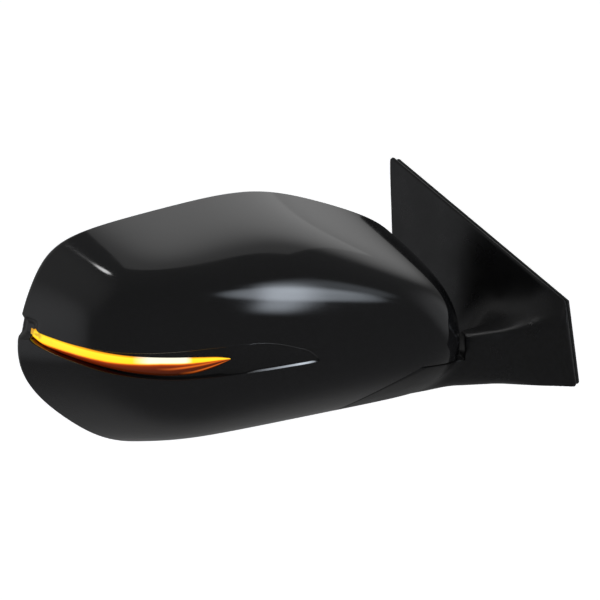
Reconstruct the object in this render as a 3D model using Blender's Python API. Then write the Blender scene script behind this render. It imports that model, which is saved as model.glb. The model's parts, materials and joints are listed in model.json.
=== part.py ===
"""Door-mounted car side mirror with a lit turn signal: the right-hand one of a pair.

World frame: +X points inboard to the car door, +Y to the rear of the car, +Z up.
The origin is the centre of the bracket's flat pad, which bolts against the door skin (plane X = 0).

The folding head has its own frame, carried by an empty on the fold axis:
u runs outboard along the head, v to its front and w up.
All lengths below are millimetres; build_mesh() turns them into metres.
"""

import math

import bmesh
import bpy
import numpy as np
from mathutils import Vector

MM = 0.001
GAP = 0.3  # clearance kept between neighbouring pieces
SHARP_ANGLE = math.radians(35)

# ---------------------------------------------------------------- head: placement and outer form
FOLD_AXIS = (-76.0, -30.0)  # world x, y of the vertical fold axis
SWEEP_DEG = 15.0  # the head's long axis leans this far to the rear
RIM_V = -42.0  # plane where the painted cap meets the rear housing
CAP_WALL = 2.4
FORM_CENTRE = np.array([107.0, -22.0, 12.0])
FORM_SHARPNESS = 10.0
# A convex body whose faces run softly into each other: (outward normal, a point on the face).
FORM_FACES = (
    ((0.03, 1.00, 0.05), (87, 56, 10)),  # front
    ((0.30, 1.00, 0.10), (172, 45, 15)),  # front, outboard half
    ((1.00, 0.48, 0.03), (255.7, -36, 0)),  # outboard tip
    ((0.84, 0.40, 0.55), (241.6, -42, 45)),  # upper outboard corner
    ((0.62, 0.36, -0.88), (225, -42, -55)),  # lower outboard corner
    ((0.20, 0.42, 1.00), (162, -42, 76.5)),  # top, outboard half
    ((-0.28, 0.42, 1.00), (42, -42, 78.5)),  # top, inboard half
    ((0.02, 0.74, 0.67), (124, 20, 62)),  # shoulder between the top and the front
    ((-0.11, 0.10, -1.00), (150, -22, -73.7)),  # bottom
    ((-0.10, 0.70, -1.00), (112, 20, -60)),  # lower front
    ((-0.85, 0.62, 0.10), (-28, 42, 10)),  # inboard front corner
    ((-0.85, 0.25, 0.75), (-12.5, -22, 66.5)),  # upper inboard corner
    ((-1.00, 0.10, -0.10), (-52, -2, 0)),  # inboard end
    ((-0.90, -0.42, 0.00), (-29, -42, 0)),  # inboard rear corner
)
FAN_AXIS = (112.0, -122.0)  # u, v of the upright line the lamp's cross-sections turn about
RIM_CENTRE = (107.0, RIM_V, 5.0)
RIM_STATIONS = 48
OPENING_INBOARD_U = 24.0  # where the glass opening would end inboard with no inset
CAP_RING_DEG = (0, 9, 20, 33, 47, 61, 75)

# ---------------------------------------------------------------- fold pivot
FOOT_RADIUS = 51.0
FOOT_TOP = -23.3
CUTOUT_RADIUS = 52.0
CUTOUT_TOP = -22.7
WALL_GAP = 1.8  # between the arm's hollow wall and the space the head's inboard end turns through
FOLD_FORWARD_DEG = 5
FOLD_REAR_DEG = 55
SHAFT_RADIUS = 9.0
SHAFT_BORE = 5.5
SHAFT_BOTTOM = -37.0
SHAFT_TOP = 33.0
HUB_RADIUS = 20.0
HUB_BOTTOM = -22.1
HUB_TOP = 10.0
BOSS_TOP = -24.0
SPRING_RADIUS = 13.4
SPRING_WIRE = 1.5
SPRING_TURNS = 3.5

# ---------------------------------------------------------------- glass and its tilt drive
PIVOT = (137.0, -41.0, 8.0)  # centre of both glass tilt axes
GLASS_INSET = 17.8
GLASS_SURFACE_V = -52.0
GLASS_THICKNESS = 2.0
HOLDER_FRONT_V = -47.0
LEVER = 30.0  # from the tilt axes to each plunger
ACTUATOR_RADIUS = 42.0
ACTUATOR_REAR_V = -34.5
ACTUATOR_FRONT_V = -9.0
GEAR_RADIUS = 8.0
GEAR_TEETH = 18
GEAR_WIDTH = 5.0
GEAR_BORE = 4.3
TOOTH_DEPTH = 1.2
WORM_RADIUS = 2.5
DRIVE_V = -23.0
MOTOR_RADIUS = 6.0
MOTOR_LENGTH = 18.0
FRAME_REAR_V = -6.0
FRAME_FRONT_V = -2.0
HOUSING_SCREWS = ((62, 50), (178, 44), (70, -44), (178, -47))
FRAME_OUTLINE = ((-19, -18), (-19, 16), (10, 36), (50, 55), (110, 57), (180, 51), (196, 34), (201, 0),
                 (190, -40), (182, -54), (110, -54), (62, -50), (56, -20))
ACTUATOR_SCREW_DEG = (100, 160, 315)

# ---------------------------------------------------------------- lamp in the front of the cap
# Leaf-shaped recess, seen from the front as (u, w) points: upper edge outboard to tip, then back.
RECESS_UPPER = ((272, 11), (247, 8), (238, 3.5), (229, 1), (214, -2), (199, -3), (182, -3), (158, -1.7),
                (134, 0), (120, 0.4), (109, -1.7), (99, -4.5), (92, -8), (86.4, -13))
RECESS_LOWER = ((91, -14), (100, -15), (111, -16.7), (121, -18.5), (140, -20), (159, -21), (182, -21),
                (193, -20), (213, -16.4), (231, -12), (242, -6.4), (250, 0), (272, 4))
# Lens: fan angle in degrees, upper and lower edge heights.
LENS_STATIONS = ((31.5, 6.0, 1.0), (35, 3.0, -3.6), (40, 0.3, -7.2), (46, -2.4, -10.5), (53, -4.8, -13.8),
                 (60, -6.6, -17.0), (67, -7.4, -18.4), (73, -7.6, -16.2), (78.5, -8.8, -10.4))
# The dark surround behind the recess: the same, for the recess's own edges.
BEZEL_STATIONS = ((30.5, 8.0, 0.0), (35, 4.5, -6.5), (40, 2.0, -11.5), (46, -0.5, -15.0), (53, -2.3, -18.5),
                  (60, -3.0, -20.5), (67, -2.7, -21.0), (75, -1.2, -20.2), (82, 0.2, -18.8), (88, 0.0, -17.2),
                  (93, -3.4, -15.5), (96.5, -8.0, -14.5))
LENS_SETBACK = 5.0
LENS_WALL = 2.5

# ---------------------------------------------------------------- base on the door
SAIL_OUTLINE = ((-122, -38.5), (49.5, -28), (56.5, 98.8), (-111.5, 15.2))  # (y, z)
SAIL_FACE_X = -8.0
COVER_WALL = 2.5
GASKET_THICKNESS = 3.0
GASKET_LIP = 1.6
PLATE_OUTLINE = ((-104, -28), (30, -20.8), (34, 56), (-95, 2))
PLATE_FRONT_X = -5.0
PLATE_BACK_X = -1.0
PAD_OUTLINE = ((-24, -20), (24, -20), (24, 20), (-24, 20))
STUDS = ((-88, -14), (20, 38), (20, -13))
STUD_RADIUS = 3.0
STUD_LENGTH = 22.0
GROMMET = (-62.0, -18.5)  # (y, z)
LEAD_RADIUS = 2.2

# Outer corners of the arm that joins the door plate to the foot (x, y, z).
ARM_POINTS = ((-4, -120, -38.3), (-4, -114, -4), (-4, -94, 3), (-4, -58, -2), (-4, -47, -14), (-4, -47, -36),
              (-28, -97, -0.5), (-29, -64, 0), (-58, -76, -6), (-60, -50, -7), (-28, -49, -20), (-28, -49, -40),
              (-60, -76, -24), (-62, -73, -31), (-57, -66, -41), (-64, -40, -47), (-60, -20, -47))

# The bracket's metal arm: its outline seen from above, and the rib that stiffens it at the plate.
ARM_CORE = ((-3, -94), (-3, -68), (-57, -50.5), (-68, -40), (-43, -68))
ARM_RIB = ((-3, -98, -6), (-3, -72, -6), (-3, -98, -30), (-3, -72, -30), (-34, -84, -30), (-30, -78, -30))


# ---------------------------------------------------------------- the head's form
def form_planes():
    """Unit normals of the form's faces and their distances from FORM_CENTRE."""
    normals = np.array([np.array(normal) / np.linalg.norm(normal) for normal, _ in FORM_FACES])
    points = np.array([point for _, point in FORM_FACES], float)
    return normals, ((points - FORM_CENTRE) * normals).sum(axis=1)


FORM_NORMALS, FORM_DISTANCES = form_planes()


def form_value(points, inset):
    """Below 1 inside the head's form and 1 on it; inset moves every face inwards."""
    reach = np.maximum(0.0, (points - FORM_CENTRE) @ FORM_NORMALS.T) / (FORM_DISTANCES - inset)
    return (reach**FORM_SHARPNESS).sum(axis=-1) ** (1 / FORM_SHARPNESS)


def opening_value(point, inset):
    """The same for the space the glass stands in, which ends short of the fold pivot."""
    inboard = max(0.0, FORM_CENTRE[0] - point[0]) / (FORM_CENTRE[0] - OPENING_INBOARD_U - inset)
    return (form_value(point, inset) ** FORM_SHARPNESS + inboard**FORM_SHARPNESS) ** (1 / FORM_SHARPNESS)


def cast(start, direction, inset=0.0, value=form_value):
    """The point where a ray that starts inside the form leaves it."""
    start = np.asarray(start, float)
    direction = np.asarray(direction, float)
    near, far = 0.0, 400.0
    for _ in range(40):
        middle = (near + far) / 2
        if value(start + middle * direction, inset) < 1:
            near = middle
        else:
            far = middle
    return start + near * direction


def head_axes():
    """World directions of the head's u, v and w at rest."""
    sweep = math.radians(SWEEP_DEG)
    outboard = np.array([-math.cos(sweep), math.sin(sweep), 0.0])
    front = np.array([-math.sin(sweep), -math.cos(sweep), 0.0])
    return outboard, front, np.array([0.0, 0.0, 1.0])


HEAD_AXES = np.array(head_axes())


def world_to_head(point):
    return HEAD_AXES @ (np.asarray(point, float) - np.array([*FOLD_AXIS, 0.0]))


def head_to_world(point):
    return HEAD_AXES.T @ np.asarray(point, float) + np.array([*FOLD_AXIS, 0.0])


def rim_ring(v, inset, value=form_value, count=RIM_STATIONS):
    """The rim's outline, moved inwards by inset and put in the plane v."""
    ring = []
    for angle in (2 * math.pi * k / count for k in range(count)):
        point = cast(RIM_CENTRE, (math.cos(angle), 0, math.sin(angle)), inset, value)
        ring.append(np.array([point[0], v, point[2]]))
    return ring


def opening_ring(v, inset, count=RIM_STATIONS):
    return rim_ring(v, inset, opening_value, count)


def fan_point(angle_deg, w, inset):
    """The point of the form at height w in the upright half-plane at this fan angle."""
    angle = math.radians(angle_deg)
    return cast((*FAN_AXIS, w), (math.cos(angle), math.sin(angle), 0), inset)


# ---------------------------------------------------------------- mesh building
EMPTY_ORIGINS = {}


def finish(name, colour, roughness, metallic=0.0, transmission=0.0):
    """A Principled material."""
    material = bpy.data.materials.new(name)
    material.use_nodes = True
    shader = material.node_tree.nodes["Principled BSDF"]
    shader.inputs["Base Color"].default_value = (*colour, 1.0)
    shader.inputs["Roughness"].default_value = roughness
    shader.inputs["Metallic"].default_value = metallic
    shader.inputs["Transmission Weight"].default_value = transmission
    return material


def tidy_mesh(mesh):
    """Outward faces, smooth shading, and sharp edges where the surface really turns."""
    shape = bmesh.new()
    shape.from_mesh(mesh)
    bmesh.ops.remove_doubles(shape, verts=shape.verts, dist=1e-6)
    bmesh.ops.dissolve_degenerate(shape, edges=shape.edges, dist=1e-6)
    bmesh.ops.recalc_face_normals(shape, faces=shape.faces)
    for face in shape.faces:
        face.smooth = True
    for edge in shape.edges:
        edge.smooth = len(edge.link_faces) == 2 and edge.calc_face_angle() < SHARP_ANGLE
    shape.to_mesh(mesh)
    shape.free()


def build_mesh(name, shape, material=None, parent=None, origin=None):
    """An object from (vertices, faces) in millimetres; its own origin defaults to its parent's."""
    vertices, faces = shape
    parent_origin = EMPTY_ORIGINS[parent.name] if parent else np.zeros(3)
    offset = parent_origin if origin is None else np.array(origin, float)
    mesh = bpy.data.meshes.new(name)
    mesh.from_pydata([tuple((np.asarray(p, float) - offset) * MM) for p in vertices], [], faces)
    tidy_mesh(mesh)
    if material:
        mesh.materials.append(material)
    body = bpy.data.objects.new(name, mesh)
    bpy.context.scene.collection.objects.link(body)
    body.parent = parent
    body.location = Vector((offset - parent_origin) * MM)
    return body


def empty(name, location, origin=(0, 0, 0), turn_deg=0.0, parent=None):
    """An empty that marks a joint axis; origin is where it stands in the frame its shapes are given in."""
    marker = bpy.data.objects.new(name, None)
    marker.empty_display_size = 0.02
    marker.location = Vector(np.array(location, float) * MM)
    EMPTY_ORIGINS[name] = np.array(origin, float)
    marker.rotation_euler = (0, 0, math.radians(turn_deg))
    marker.parent = parent
    bpy.context.scene.collection.objects.link(marker)
    return marker


def combine(body, shape, operation):
    """Cut or join a second shape, given in the same frame as the body."""
    tool = build_mesh("tool", shape, parent=body.parent)
    modifier = body.modifiers.new("combine", "BOOLEAN")
    modifier.operation = operation
    modifier.solver = "EXACT"
    modifier.object = tool
    graph = bpy.context.evaluated_depsgraph_get()
    graph.update()
    result = bpy.data.meshes.new_from_object(body.evaluated_get(graph))
    body.modifiers.clear()
    old = body.data
    body.data = result
    body.data.name = old.name
    bpy.data.meshes.remove(old)
    bpy.data.objects.remove(tool, do_unlink=True)
    tidy_mesh(result)


def cut(body, *shapes):
    for shape in shapes:
        combine(body, shape, "DIFFERENCE")


def join(body, *shapes):
    for shape in shapes:
        combine(body, shape, "UNION")


# ---------------------------------------------------------------- shapes: (vertices, faces)
def turned(point, axis):
    """Take a point given along the w axis onto another axis."""
    a, b, c = point
    return {"u": (c, a, b), "v": (b, c, a), "w": (a, b, c)}[axis]


def loft(rings, closed_ends=True, joined=False):
    """Skin through rings of equal length; joined connects the last ring back to the first."""
    count = len(rings[0])
    vertices = [point for ring in rings for point in ring]
    faces = []
    spans = len(rings) if joined else len(rings) - 1
    for row in range(spans):
        here, there = row * count, ((row + 1) % len(rings)) * count
        for k in range(count):
            after = (k + 1) % count
            faces.append((here + k, here + after, there + after, there + k))
    if closed_ends and not joined:
        faces.append(tuple(range(count)))
        faces.append(tuple(range(len(vertices) - count, len(vertices))))
    return vertices, faces


def circle(centre, radius, level, axis="w", count=24):
    centre = np.array(centre, float)
    ring = []
    for k in range(count):
        angle = 2 * math.pi * k / count
        ring.append(centre + turned((radius * math.cos(angle), radius * math.sin(angle), level), axis))
    return ring


def lathe(profile, centre=(0, 0, 0), axis="w", count=24):
    """Turn a closed profile of (radius, level) pairs; all radii above zero."""
    return loft([circle(centre, radius, level, axis, count) for radius, level in profile], joined=True)


def cylinder(radius, low, high, centre=(0, 0, 0), axis="w", count=24):
    return loft([circle(centre, radius, low, axis, count), circle(centre, radius, high, axis, count)])


def stepped(profile, centre=(0, 0, 0), axis="w", count=24):
    """A solid turned shape from (radius, level) pairs, with flat ends."""
    return loft([circle(centre, radius, level, axis, count) for radius, level in profile])


def block(low, high):
    (x0, y0, z0), (x1, y1, z1) = low, high
    lower = [(x0, y0, z0), (x1, y0, z0), (x1, y1, z0), (x0, y1, z0)]
    return loft([lower, [(x, y, z1) for x, y, _ in lower]])


def prism(outline, low, high, axis):
    """Extrude a flat outline along u or v of its frame (x or y in the world)."""
    if axis == "u":
        return loft([[(low, a, b) for a, b in outline], [(high, a, b) for a, b in outline]])
    return loft([[(a, low, b) for a, b in outline], [(a, high, b) for a, b in outline]])


def hull(points):
    """The convex hull of some points."""
    shape = bmesh.new()
    for point in points:
        shape.verts.new(point)
    bmesh.ops.convex_hull(shape, input=shape.verts)
    loose = [vertex for vertex in shape.verts if not vertex.link_faces]
    bmesh.ops.delete(shape, geom=loose, context="VERTS")
    shape.verts.index_update()
    result = [tuple(v.co) for v in shape.verts], [tuple(v.index for v in f.verts) for f in shape.faces]
    shape.free()
    return result


def swept(path, radius, count=10):
    """A round rod along a path."""
    path = [Vector(p) for p in path]
    side = None
    rings = []
    for k, point in enumerate(path):
        ahead = (path[min(k + 1, len(path) - 1)] - path[max(k - 1, 0)]).normalized()
        if side is None:
            side = ahead.orthogonal()
        side = (side - ahead * side.dot(ahead)).normalized()
        other = ahead.cross(side)
        rings.append([
            tuple(point + radius * (math.cos(t) * side + math.sin(t) * other))
            for t in (2 * math.pi * j / count for j in range(count))
        ])
    return loft(rings)


def smooth_path(points, steps=5):
    """Points along a curve that passes through the given ones."""
    points = [Vector(p) for p in points]
    ends = [2 * points[0] - points[1]] + points + [2 * points[-1] - points[-2]]
    path = []
    for k in range(1, len(ends) - 2):
        before, start, end, after = ends[k - 1 : k + 3]
        for step in range(steps):
            t = step / steps
            path.append(0.5 * (2 * start + (end - before) * t + (2 * before - 5 * start + 4 * end - after) * t**2
                               + (3 * start - before - 3 * end + after) * t**3))
    return path + [points[-1]]


def fan_loft(stations, section):
    """Skin through cross-sections; section(angle, upper, lower) lists (inset, w) corners."""
    rings = []
    for angle, upper, lower in stations:
        rings.append([fan_point(angle, w, inset) for inset, w in section(upper, lower)])
    return loft(rings)


def offset_outline(outline, distance):
    """Move every side of a flat convex outline inwards by distance (outwards when negative)."""
    points = [np.array(p, float) for p in outline]
    middle = sum(points) / len(points)
    lines = []
    for start, end in zip(points, points[1:] + points[:1]):
        along = (end - start) / np.linalg.norm(end - start)
        normal = np.array([-along[1], along[0]])
        if normal @ (middle - start) < 0:
            normal = -normal
        lines.append((normal, normal @ start + distance))
    corners = []
    for (n0, c0), (n1, c1) in zip(lines[-1:] + lines[:-1], lines):
        corners.append(tuple(np.linalg.solve(np.array([n0, n1]), np.array([c0, c1]))))
    return corners


# ---------------------------------------------------------------- head: skins and frame
def foot_cutout():
    """The space the foot turns in, cut from the bottom of the head."""
    return cylinder(CUTOUT_RADIUS, -90, CUTOUT_TOP, count=48)


def build_front_cap(head, paint):
    outer, inner = [], []
    for degrees in CAP_RING_DEG:
        lift = math.radians(degrees)
        directions = [
            (math.cos(lift) * math.cos(a), math.sin(lift), math.cos(lift) * math.sin(a))
            for a in (2 * math.pi * k / RIM_STATIONS for k in range(RIM_STATIONS))
        ]
        outer.append([cast(RIM_CENTRE, d) for d in directions])
        inner.append([cast(RIM_CENTRE, d, CAP_WALL) for d in directions])
    cap = build_mesh("front_cap", loft(inner[::-1] + outer), paint, head)
    cut(cap, prism(RECESS_UPPER + RECESS_LOWER, -50, 90, "v"), foot_cutout())
    return cap


def build_rear_housing(head, plastic):
    outside = ((3.2, -42.5), (0.4, -42.5), (1.6, -51), (5, -56.8), (9, -58))
    skin = [rim_ring(v, inset) for inset, v in outside]
    throat = ((10.5, -58), (12.4, -56.8), (13, -53), (13, -34.5), (11, -34.5), (10.4, -55))
    mouth = [opening_ring(v, inset) for inset, v in throat]
    channel = [rim_ring(-54.5, 6.0)]
    housing = build_mesh("rear_housing", loft(skin + mouth + channel, joined=True), plastic, head)
    cut(housing, foot_cutout())
    for u, w in HOUSING_SCREWS:
        outward = math.copysign(1, w)
        wall = cast((u, RIM_V, 0), (0, 0, outward), 12)[2]
        feet = [[(u + side, v, wall + level) for side in (-4, 4) for level in (-0.8, 0.8)]
                for v in (-37, -27, -25)]
        tops = [(u + side, FRAME_REAR_V - GAP, w + level) for side in (-4, 4) for level in (-4, 4)]
        join(housing, hull(feet[0] + feet[2]), hull(feet[1] + feet[2] + tops))
    for u, w in HOUSING_SCREWS:
        cut(housing, cylinder(1.8, -20, 0, (u, 0, w), "v", 12))
    return housing


def actuator_screw_spots():
    return [(PIVOT[0] + 35 * math.cos(math.radians(a)), PIVOT[2] + 35 * math.sin(math.radians(a)))
            for a in ACTUATOR_SCREW_DEG]


def build_head_frame(head, metal):
    frame = build_mesh("head_frame", prism(FRAME_OUTLINE, FRAME_REAR_V, FRAME_FRONT_V, "v"), metal, head)
    join(frame, cylinder(HUB_RADIUS, HUB_BOTTOM, HUB_TOP))
    for w in (-18, 6):
        join(frame, block((15, -10, w - 2), (58, 12, w + 2)))
    cut(frame, cylinder(SHAFT_RADIUS + GAP, -40, 30))
    cut(frame, block((66, -9, -32), (90, 1, 36)), block((-60, -30, HUB_TOP + 0.2), (17, 30, 90)))
    for u, w in HOUSING_SCREWS + tuple(actuator_screw_spots()):
        cut(frame, cylinder(1.9, -9, 1, (u, 0, w), "v", 12))
    return frame


def build_screw(name, spot, shank_end, head, steel):
    """A pan-head screw driven from the front of the head frame."""
    u, w = spot
    seat = FRAME_FRONT_V + GAP
    profile = ((1.5, shank_end), (1.5, seat), (3.3, seat), (3.3, 0.0), (2.2, 0.8))
    return build_mesh(name, stepped(profile, (u, 0, w), "v", 12), steel, head, (u, 0, w))


# ---------------------------------------------------------------- head: lamp
def build_lamp(head, finishes):
    def skin(near, far):
        def section(up, low):
            middle = (up + low) / 2
            return (near, up), (near, middle), (near, low), (far, low), (far, middle), (far, up)
        return section

    inner_stations = LENS_STATIONS[2:-1]
    def surround(up, low):
        middle = (up + low) / 2
        top, foot = up + 2.2, low - 2.2
        return (4.6, top), (4.3, middle), (4.6, foot), (7.2, foot), (7.0, middle), (7.2, top)

    lens = fan_loft(LENS_STATIONS, skin(LENS_SETBACK, LENS_SETBACK + LENS_WALL))
    build_mesh("signal_lens", lens, finishes["amber"], head)
    bezel = build_mesh("lamp_bezel", fan_loft(BEZEL_STATIONS, surround), finishes["dark_plastic"], head)
    cut(bezel, fan_loft([(angle, up + GAP, low - GAP) for angle, up, low in LENS_STATIONS], skin(-3, 14)))

    def tray(up, low):
        return ((7.9, up + 2.4), (7.9, up + 0.8), (18, up + 0.8), (18, low - 0.8), (7.9, low - 0.8), (7.9, low - 2.4),
                (19.8, low - 2.4), (19.8, up + 2.4))

    build_mesh("lamp_housing", fan_loft(inner_stations, tray), finishes["plastic"], head)
    guide_stations = inner_stations[:-1]
    build_mesh("light_guide", fan_loft(guide_stations, lambda up, low: (
        (9, up - 1), (9, up - 3.4), (12.5, up - 3.4), (12.5, up - 1))), finishes["clear"], head)
    build_mesh("led_board", fan_loft(guide_stations, lambda up, low: (
        (15.8, up - 0.6), (15.8, low + 0.6), (17, low + 0.6), (17, up - 0.6))), finishes["board"], head)
    for number, (angle, up, low) in enumerate(guide_stations[1:], 1):
        spot = [(angle - 1.2, up, low), (angle + 1.2, up, low)]
        build_mesh(f"led_{number}", fan_loft(spot, lambda up, low: (
            (13.2, up - 1.2), (13.2, up - 4.2), (15.4, up - 4.2), (15.4, up - 1.2))), finishes["led"], head)


# ---------------------------------------------------------------- head: glass, holder and tilt drive
def build_glass(pitch, finishes):
    glass_front = GLASS_SURFACE_V + GLASS_THICKNESS
    glass_rings = [opening_ring(v, GLASS_INSET, 40) for v in (GLASS_SURFACE_V, glass_front)]
    build_mesh("mirror_glass", loft(glass_rings), finishes["mirror"], pitch)
    pad_rings = [opening_ring(v, GLASS_INSET + 4, 24) for v in (glass_front + GAP, glass_front + 0.8)]
    build_mesh("heater_pad", loft(pad_rings), finishes["foil"], pitch)
    lip = ((GLASS_INSET - 1.8, HOLDER_FRONT_V), (GLASS_INSET - 1.8, GLASS_SURFACE_V - 0.4),
           (GLASS_INSET - 0.4, GLASS_SURFACE_V - 0.4), (GLASS_INSET - 0.4, glass_front + 1.1))
    holder = build_mesh("glass_holder", loft([opening_ring(v, inset, 40) for inset, v in lip]),
                        finishes["plastic"], pitch)
    u, _, w = PIVOT
    for side in (-1, 1):
        middle = u + side * 20.6
        lug = block((middle - 2.4, HOLDER_FRONT_V - 1, w - 4), (middle + 2.4, -38.5, w + 4))
        join(holder, lug)
    cut(holder, cylinder(1.5 + GAP + 0.1, -21.5, 21.5, PIVOT, "u", 12))
    for spot in plunger_spots():
        socket = ((4.6, HOLDER_FRONT_V - 0.5), (4.6, -42.5), (6.0, -42.5), (6.0, HOLDER_FRONT_V - 0.5))
        join(holder, lathe(socket, (spot[0], 0, spot[1]), "v", 16))


def plunger_spots():
    """Where the two plungers push: (u, w) for the sideways and the up-down tilt."""
    return (PIVOT[0] + LEVER, PIVOT[2]), (PIVOT[0], PIVOT[2] - LEVER)


def build_tilt_ring(yaw, plastic):
    section = ((13, -2), (17, -2), (17, 2), (13, 2))
    ring = build_mesh("tilt_ring", lathe(section, PIVOT, "v", 32), plastic, yaw)
    for axis in ("u", "w"):
        for side in (-1, 1):
            ends = sorted((side * 15, side * 20.5))
            join(ring, cylinder(1.5, ends[0], ends[1], PIVOT, axis, 12))


def build_actuator(head, finishes):
    u, _, w = PIVOT
    centre = (u, 0, w)
    wall = 2.0
    shell = ((ACTUATOR_RADIUS - wall, ACTUATOR_FRONT_V), (ACTUATOR_RADIUS, ACTUATOR_FRONT_V),
             (ACTUATOR_RADIUS, ACTUATOR_REAR_V + 3), (ACTUATOR_RADIUS - 3, ACTUATOR_REAR_V),
             (9.0, ACTUATOR_REAR_V), (9.0, ACTUATOR_REAR_V + wall), (ACTUATOR_RADIUS - wall - 2, ACTUATOR_REAR_V + wall))
    housing = build_mesh("actuator_housing", lathe(shell, centre, "v", 40), finishes["plastic"], head)
    for side in (-1, 1):
        middle = w + side * 20.6
        join(housing, block((u - 4, -43.5, middle - 2.4), (u + 4, ACTUATOR_REAR_V + 1, middle + 2.4)))
    cut(housing, cylinder(1.5 + GAP + 0.1, -21.5, 21.5, PIVOT, "w", 12))
    for spot in plunger_spots():
        cut(housing, cylinder(4.4, -40, -30, (spot[0], 0, spot[1]), "v", 16))
    for spot in actuator_screw_spots():
        boss = (spot[0], 0, spot[1])
        join(housing, cylinder(3.6, ACTUATOR_REAR_V + 1, ACTUATOR_FRONT_V - 0.2, boss, "v", 12))
        cut(housing, cylinder(1.8, -20, 0, boss, "v", 12))
    lid_profile = ((ACTUATOR_RADIUS, ACTUATOR_FRONT_V + GAP), (ACTUATOR_RADIUS, FRAME_REAR_V - GAP))
    lid = stepped(lid_profile, centre, "v", 40)
    cover = build_mesh("actuator_cover", lid, finishes["plastic"], head)
    for spot in actuator_screw_spots():
        cut(cover, cylinder(1.9, -20, 0, (spot[0], 0, spot[1]), "v", 12))


def gear_outline(centre):
    """Gear rim and bore rings, seen along v."""
    def ring(radii, level):
        points = []
        for k, radius in enumerate(radii):
            angle = math.pi * k / GEAR_TEETH
            spot = turned((radius * math.cos(angle), radius * math.sin(angle), level), "v")
            points.append(np.array(centre) + spot)
        return points

    teeth = [GEAR_RADIUS, GEAR_RADIUS - TOOTH_DEPTH] * GEAR_TEETH
    bore = [GEAR_BORE] * (2 * GEAR_TEETH)
    half = GEAR_WIDTH / 2
    return [ring(teeth, -half), ring(teeth, half), ring(bore, half), ring(bore, -half)]


def build_tilt_drive(head, finishes):
    """For each tilt axis: motor, worm, screw gear and plunger, each with its origin on its own axis."""
    worm_offset = GEAR_RADIUS + WORM_RADIUS + GAP
    for name, spot, axis in zip(("yaw", "pitch"), plunger_spots(), ("w", "u")):
        u, w = spot
        profile = ((1.6, -45.6), (3.0, -44.6), (3.4, -43.2), (3.0, -41.8), (2.4, -40.6), (2.4, -38.5),
                   (4.0, -37.5), (4.0, -15), (3.2, -14))
        build_mesh(f"{name}_plunger", stepped(profile, (u, 0, w), "v", 16), finishes["white_plastic"], head,
                   (u, DRIVE_V, w))
        gear = loft(gear_outline((u, DRIVE_V, w)), joined=True)
        build_mesh(f"{name}_gear", gear, finishes["white_plastic"], head, (u, DRIVE_V, w))
        toward_pivot = np.array([PIVOT[0] - u, 0, PIVOT[2] - w]) / LEVER
        middle = np.array([u, DRIVE_V, w]) + worm_offset * toward_pivot
        sign = 1 if axis == "w" else -1
        threads = [(1.0, -6.2)]
        for k in range(5):
            threads += [(1.7, -5 + 2 * k), (WORM_RADIUS, -4.4 + 2 * k), (1.7, -3.8 + 2 * k)]
        threads += [(1.7, 5.4), (1.0, 5.4), (1.0, 8.2)]
        worm = [(radius, sign * level) for radius, level in threads]
        build_mesh(f"{name}_worm", stepped(worm, middle, axis, 9), finishes["steel"], head, middle)
        start = sign * 8.5
        end = sign * (8.5 + MOTOR_LENGTH)
        can = ((2.2, start), (2.2, start + sign), (MOTOR_RADIUS, start + sign), (MOTOR_RADIUS, end),
               (2.0, end), (2.0, end + 1.2 * sign))
        build_mesh(f"{name}_motor", stepped(can, middle, axis, 20), finishes["steel"], head, middle)


# ---------------------------------------------------------------- fold pivot
def build_pivot(head, finishes):
    axis = (*FOLD_AXIS, 0.0)
    groove = SHAFT_RADIUS - 1.2
    shaft = ((SHAFT_BORE, SHAFT_BOTTOM), (SHAFT_RADIUS, SHAFT_BOTTOM), (SHAFT_RADIUS, 28.2), (groove, 28.2),
             (groove, 29.8), (SHAFT_RADIUS, 29.8), (SHAFT_RADIUS, SHAFT_TOP), (SHAFT_BORE, SHAFT_TOP))
    build_mesh("fold_shaft", lathe(shaft, axis, count=28), finishes["steel"], origin=axis)
    clip = ((SHAFT_RADIUS - 0.9, 28.5), (13, 28.5), (13, 29.5), (SHAFT_RADIUS - 0.9, 29.5))
    build_mesh("retaining_clip", lathe(clip, axis, count=24), finishes["steel"], origin=axis)
    washer = ((SHAFT_RADIUS + GAP, 26.5), (15.5, 26.5), (15.5, 28.1), (SHAFT_RADIUS + GAP, 28.1))
    build_mesh("spring_washer", lathe(washer, axis, count=24), finishes["steel"], origin=axis)
    thrust = ((SHAFT_RADIUS + GAP, -23.7), (18.5, -23.7), (18.5, HUB_BOTTOM - GAP),
              (SHAFT_RADIUS + GAP, HUB_BOTTOM - GAP))
    build_mesh("thrust_washer", lathe(thrust, axis, count=28), finishes["bronze"], origin=axis)
    low = HUB_TOP + GAP + SPRING_WIRE
    high = 26.5 - GAP - SPRING_WIRE
    steps = int(SPRING_TURNS * 12)
    coil = [(SPRING_RADIUS * math.cos(2 * math.pi * k / 12) + axis[0],
             SPRING_RADIUS * math.sin(2 * math.pi * k / 12) + axis[1],
             low + (high - low) * k / steps) for k in range(steps + 1)]
    build_mesh("fold_spring", swept(coil, SPRING_WIRE, 6), finishes["steel"], origin=axis)


# ---------------------------------------------------------------- base on the door
def foot_solid(inset):
    """The foot: the head's form below the parting plane, as far as the turning cut-out."""
    top = FOOT_TOP - inset
    rings_low = []
    for part in (1.0, 0.97, 0.8, 0.55, 0.28, 0.06):
        low_ring = []
        for k in range(40):
            angle = 2 * math.pi * k / 40
            outward = (math.cos(angle), math.sin(angle), 0)
            edge = cast((0, 0, top - 1.0), outward, inset)
            limit = min(FOOT_RADIUS - inset, math.hypot(edge[0], edge[1]))
            spot = (part * limit * outward[0], part * limit * outward[1], top - 0.5)
            low_ring.append(cast(spot, (0, 0, -1), inset))
        rings_low.append(low_ring)
    rings_top = [(p[0], p[1], top) for p in rings_low[0]]
    vertices, faces = loft([rings_top] + rings_low)
    return [head_to_world(p) for p in vertices], faces


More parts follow.
